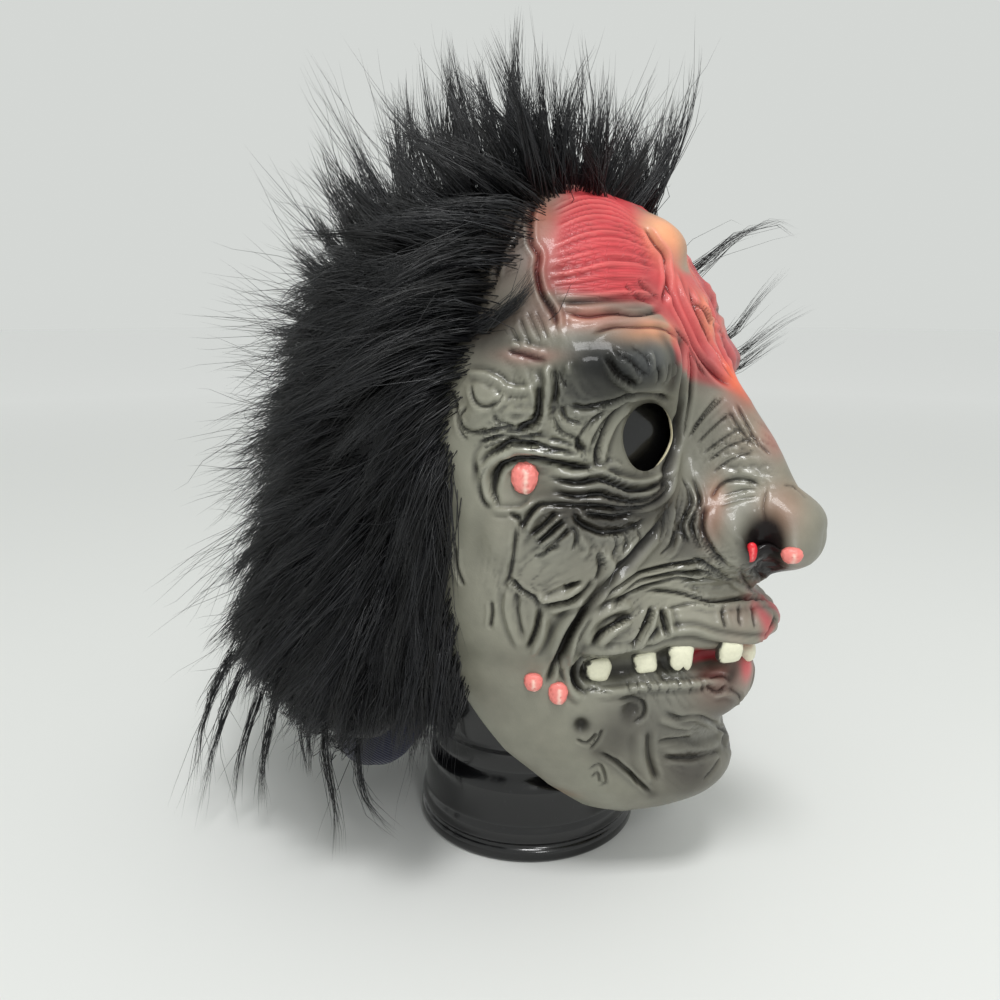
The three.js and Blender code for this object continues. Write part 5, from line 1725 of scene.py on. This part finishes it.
# a few locks escape over the temple, past the far side of the brow and under the hem
far_side = [
    ((58, -22, 270), (70, -27, 292), (80, -31, 318)),
    ((50, -24, 276), (60, -34, 300), (66, -36, 322)),
    ((66, -18, 246), (72, -43, 248), (79, -56, 263), (90, -73, 273), (101, -84, 266)),
    ((78, -16, 206), (79, -45, 212), (80, -60, 220), (86, -66, 232), (95, -77, 248)),
    ((79, -12, 196), (80, -45, 203), (81, -63, 211), (88, -72, 222), (98, -87, 233)),
    ((80, -12, 188), (81, -45, 197), (82, -63, 205), (86, -72, 214), (90, -82, 222)),
    ((-84, 108, 78), (-96, 114, 50), (-101, 118, 18)),
    ((-86, 98, 74), (-99, 103, 44), (-110, 106, 10)),
    ((-82, 90, 66), (-92, 94, 40), (-98, 95, 14)),
    ((-80, 82, 64), (-88, 84, 38), (-93, 80, 16)),
    ((-80, 52, 60), (-83, 50, 40), (-84, 44, 22), (-90, 40, 4)),
    ((-74, 38, 58), (-79, 36, 42), (-77, 31, 24), (-68, 26, 10)),
]
temple = [on_face(*pixel) for pixel in ((456, 336), (484, 331), (508, 313), (524, 296), (535, 277))]
escaped = [np.array(points, float) for points in far_side]
for away in (0.9, 1.3, 1.8):
    off_face = np.array((-1.8, -1.2, 0.8 * away)) * np.linspace(1.5, away, len(temple))[:, None]
    escaped.append(np.array(temple) + off_face)
for points in escaped:
    curve = smooth_line(points, 12)
    lines = np.concatenate([lines, curve[np.linspace(0, len(curve) - 1, LOCK_STEPS + 1).astype(int)][None]])
    sides = np.vstack([sides, np.cross(points[1] - points[0], (0.3, 0.5, 0.1))])
    sides[-1] /= norm(sides[-1])
    roots = np.vstack([roots, points[:1]])
thin = np.arange(len(roots)) >= len(roots) - len(escaped)

# some locks fall apart into single hairs, which lift off the back and the crown and catch the light
planned = roots[: len(out_of_root)]
able = np.flatnonzero((out_of_root[:, 0] < 0.3) & (planned[:, 1] > 50) & (planned[:, 2] > 130))
lifted = rng.choice(able, LOOSE_LOCKS, replace=False)
rise = LOOSE_LIFT * np.linspace(0, 1, LOCK_STEPS + 1) ** 1.5
lifted_lines = lines[lifted] + out_of_root[lifted][:, None, :] * rise[None, :, None]
lines = np.concatenate([lines, lines[lifted, :1] + (lifted_lines - lines[lifted, :1]) * 1.15])
sides, roots = np.vstack([sides, sides[lifted]]), np.vstack([roots, roots[lifted]])
thin = np.append(thin, np.zeros(LOOSE_LOCKS, bool))
print("locks reach from", lines.reshape(-1, 3).min(0).round(), "to", lines.reshape(-1, 3).max(0).round())

# %% Grow the hairs
HAIR_CUTS = (0.3, 0.6, 0.85)
# a real fibre is about 0.06 mm thick, too fine to show here, so fewer and thicker hairs are drawn
HAIR_RADIUS = 0.22
LOCK_WIDTH, THIN_LOCK_WIDTH, LOOSE_LOCK_WIDTH = 7.0, 2.4, 20.0
STRAY_SHARE = 0.07
FUR_LIMITS = np.array([[-139, -120, 3], [139, 174, 350]])

total = len(roots) * HAIRS
lock_of = np.repeat(np.arange(len(roots)), HAIRS)
along = np.array((0, *HAIR_CUTS, 1.0))
lengths = rng.uniform(0.62, 1.08, total)
loose = lock_of >= len(roots) - LOOSE_LOCKS
stray = (rng.random(total) < STRAY_SHARE) | loose
lengths[stray] *= 1.15
at = np.clip(along[None, :] * lengths[:, None], 0, 1) * LOCK_STEPS
whole = np.minimum(at.astype(int), LOCK_STEPS - 1)
part = (at - whole)[..., None]
spine = lines[lock_of[:, None], whole] * (1 - part) + lines[lock_of[:, None], whole + 1] * part
over = np.maximum(along[None, :] * lengths[:, None] - 1, 0)[..., None]
spine += over * (lines[lock_of, -1] - lines[lock_of, -3])[:, None, :] * (LOCK_STEPS / 2)

first_way = lines[lock_of, 2] - lines[lock_of, 0]
first_way /= norm(first_way, axis=1, keepdims=True)
side_way = sides[lock_of]
third_way = np.cross(first_way, side_way)
radius = np.where(thin, THIN_LOCK_WIDTH, LOCK_WIDTH)[lock_of] * np.sqrt(rng.random(total))
radius[loose] *= LOOSE_LOCK_WIDTH / LOCK_WIDTH
radius[stray] *= 0.8
round_angle = rng.uniform(0, 2 * math.pi, total)
thinness = np.where(loose, 0.1, 0.55)
spread = side_way * (radius * np.cos(round_angle))[:, None]
spread = spread + third_way * (thinness * radius * np.sin(round_angle))[:, None]
spread += first_way * rng.normal(0, 4.0, total)[:, None]
closing = rng.uniform(0.72, 1.0, total)
closing[stray] = rng.uniform(-0.6, 0.4, stray.sum())
narrowing = 1 - closing[:, None] * (along[None, :] ** 0.85)
frizz = rng.normal(0, 1, (total, 3)) * np.where(stray, 7.0, 1.5)[:, None]
bend = rng.normal(0, 1, (total, 3)) * np.where(stray, 3.0, 0.9)[:, None]
hairs = spine + spread[:, None, :] * narrowing[..., None]
hairs += frizz[:, None, :] * (along[None, :, None] ** 1.7)
hairs += bend[:, None, :] * np.sin(along * math.pi * 1.5)[None, :, None]

# a hair that would leave the fur's space is shortened
reach = hairs - hairs[:, :1]
room = np.where(reach > 0, FUR_LIMITS[1] - hairs[:, :1], FUR_LIMITS[0] - hairs[:, :1])
moving = np.abs(reach) > 1e-6
fits = np.where(moving, np.clip(room / np.where(moving, reach, 1), 0, 1), 1).min(axis=(1, 2))
hairs = hairs[:, :1] + reach * fits[:, None, None]

template = bmesh.new()
bmesh.ops.create_cone(template, cap_ends=True, segments=3, radius1=1, radius2=0, depth=1)
bmesh.ops.translate(template, vec=(0, 0, 0.5), verts=template.verts)
for cut in HAIR_CUTS:
    bmesh.ops.bisect_plane(
        template, geom=template.verts[:] + template.edges[:] + template.faces[:], plane_co=(0, 0, cut),
        plane_no=(0, 0, 1),
    )
bmesh.ops.recalc_face_normals(template, faces=template.faces)
template.verts.ensure_lookup_table()
tube = np.array([vert.co for vert in template.verts])
tube_faces = [[vert.index for vert in f.verts] for f in template.faces]
template.free()
tube_level = np.array([np.argmin(abs(along - z)) for z in tube[:, 2]])
tube_angle = np.arctan2(tube[:, 1], tube[:, 0])
hair_triangles = sum(len(f) - 2 for f in tube_faces)
print(total, "hairs of", hair_triangles, "triangles")


def write_hairs(chosen, name):
    """One object with a copy of the tapered tube along every chosen hair."""
    path = hairs[chosen]
    count, points = len(path), len(tube)
    tangent = np.gradient(path, axis=1)
    tangent /= np.maximum(norm(tangent, axis=2, keepdims=True), 1e-6)
    reference = side_way[chosen][:, None, :] + 0 * tangent
    first = np.cross(tangent, reference)
    first /= np.maximum(norm(first, axis=2, keepdims=True), 1e-6)
    second = np.cross(tangent, first)
    thick = HAIR_RADIUS * rng.uniform(0.75, 1.25, count)
    thick[stray[chosen] | thin[lock_of[chosen]]] *= 0.7
    taper = 1 - 0.9 * along**2.2
    taper[-1] = 0
    size = thick[:, None] * taper[tube_level][None, :]
    spin_by = rng.uniform(0, 2 * math.pi, count)[:, None] + tube_angle[None, :]
    place = path[:, tube_level]
    place = place + first[:, tube_level] * (size * np.cos(spin_by))[..., None]
    place = place + second[:, tube_level] * (size * np.sin(spin_by))[..., None]
    mesh = bpy.data.meshes.new(name)
    mesh.vertices.add(count * points)
    mesh.vertices.foreach_set("co", (place * MM).ravel())
    corner_list = np.concatenate([np.array(f) for f in tube_faces])
    sizes = np.array([len(f) for f in tube_faces])
    starts = np.concatenate([[0], np.cumsum(sizes)[:-1]])
    shift = np.arange(count)[:, None]
    corners_of_all = (corner_list[None, :] + shift * points).ravel().astype(np.int32)
    starts_of_all = (starts[None, :] + shift * len(corner_list)).ravel().astype(np.int32)
    mesh.loops.add(count * len(corner_list))
    mesh.loops.foreach_set("vertex_index", corners_of_all)
    mesh.polygons.add(count * len(sizes))
    mesh.polygons.foreach_set("loop_start", starts_of_all)
    mesh.polygons.foreach_set("use_smooth", np.ones(count * len(sizes), bool))
    mesh.update(calc_edges=True)
    shade = mesh.attributes.new("fibre", "FLOAT_VECTOR", "POINT")
    tone = np.clip(0.5 + 0.28 * lock_tone[lock_of[chosen]] + 0.22 * rng.normal(size=count), 0, 1)
    how_far_along = np.tile(along[tube_level], count)
    values = np.stack([np.repeat(tone, points), how_far_along, np.zeros(count * points)], -1)
    shade.data.foreach_set("vector", values.ravel().astype(np.float32))
    made = bpy.data.objects.new(name, mesh)
    scene.collection.objects.link(made)
    made.data.materials.append(fibre)
    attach(made, "root")
    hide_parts("fur_hood")
    print(name, "has", count, "hairs and", count * hair_triangles, "triangles")


# %% The fibre and the four pieces of fur
# modacrylic fibre: solution-dyed black, smooth as glass, so each hair has a thin cool glint along its length
fibre, shader = new_material("black_modacrylic_fibre", IOR=1.5, Specular_IOR_Level=0.62)
own = node(fibre, "Attribute", attribute_name="fibre")
parts = node(fibre, "SeparateXYZ", {"Vector": own.outputs["Vector"]})
tone = node(
    fibre, "Mix", {"Factor": parts.outputs["X"]}, data_type="RGBA", in_A=rgba("#060608"), in_B=rgba("#17181d")
)
feed(shader, Base_Color=tone.outputs["Result"])
rough = node(fibre, "MapRange", {"Value": parts.outputs["X"]}, in_To_Min=0.5, in_To_Max=0.34)
feed(shader, Roughness=rough)

lock_tone = rng.normal(size=len(roots))
root_z, root_x, root_y = roots[lock_of, 2], roots[lock_of, 0], roots[lock_of, 1]
crest = root_z > np.quantile(root_z, 0.76)
turn_of = np.arctan2(root_x, root_y - 15)
rest = ~crest
right_limit, left_limit = np.quantile(turn_of[rest], (1 / 3, 2 / 3))
pieces_of_fur = {
    "fur_crest": crest,
    "fur_right_side": rest & (turn_of <= right_limit),
    "fur_back": rest & (turn_of > right_limit) & (turn_of <= left_limit),
    "fur_left_side": rest & (turn_of > left_limit),
}
for name, belongs in pieces_of_fur.items():
    write_hairs(np.flatnonzero(belongs), name)

# %% [markdown]
# ## Floor, light and the end
# A pale world lights everything softly from all round, and two small soft boxes put the glints on paint and
# lacquer. The floor is a wide disc of matt paper. It gets paler with distance, so it ends without an edge.

# %% Light the scene
floor_bm = bmesh.new()
bmesh.ops.create_circle(floor_bm, cap_ends=True, segments=96, radius=9000)
floor = finish_mesh(floor_bm, "studio_floor")
pale, shader = new_material("matt_paper_floor", Roughness=0.9, Specular_IOR_Level=0.2)
coords = node(pale, "TexCoord").outputs["Object"]
away = node(pale, "VectorMath", {0: coords}, operation="LENGTH")
paler = node(pale, "MapRange", {"Value": away.outputs["Value"]}, in_From_Min=0.3, in_From_Max=2.2)
tone = node(pale, "Mix", {"Factor": paler}, data_type="RGBA", in_A=rgba("#e2e3e1"), in_B=rgba("#fdfdfd"))
feed(shader, Base_Color=tone.outputs["Result"])
floor.data.materials.append(pale)

world = bpy.data.worlds.new("studio")
scene.world = world
world.use_nodes = True
world.node_tree.nodes["Background"].inputs["Color"].default_value = rgba("#e3e6e3")
world.node_tree.nodes["Background"].inputs["Strength"].default_value = 0.86


def softbox(name, place, target, size, watts):
    """A square lamp that looks at a target."""
    lamp = bpy.data.lights.new(name, "AREA")
    lamp.size = size
    lamp.energy = watts
    made = bpy.data.objects.new(name, lamp)
    made.location = Vector(place)
    made.rotation_mode = "QUATERNION"
    made.rotation_quaternion = (Vector(target) - Vector(place)).to_track_quat("-Z", "Y")
    scene.collection.objects.link(made)


HEAD = (0, 0, 0.18)
softbox("overhead_softbox", (-0.35, -0.3, 1.05), HEAD, 0.26, 5.5)
softbox("front_softbox", (-0.8, -0.9, 0.95), HEAD, 0.24, 3.0)
scene.view_settings.view_transform = "Standard"
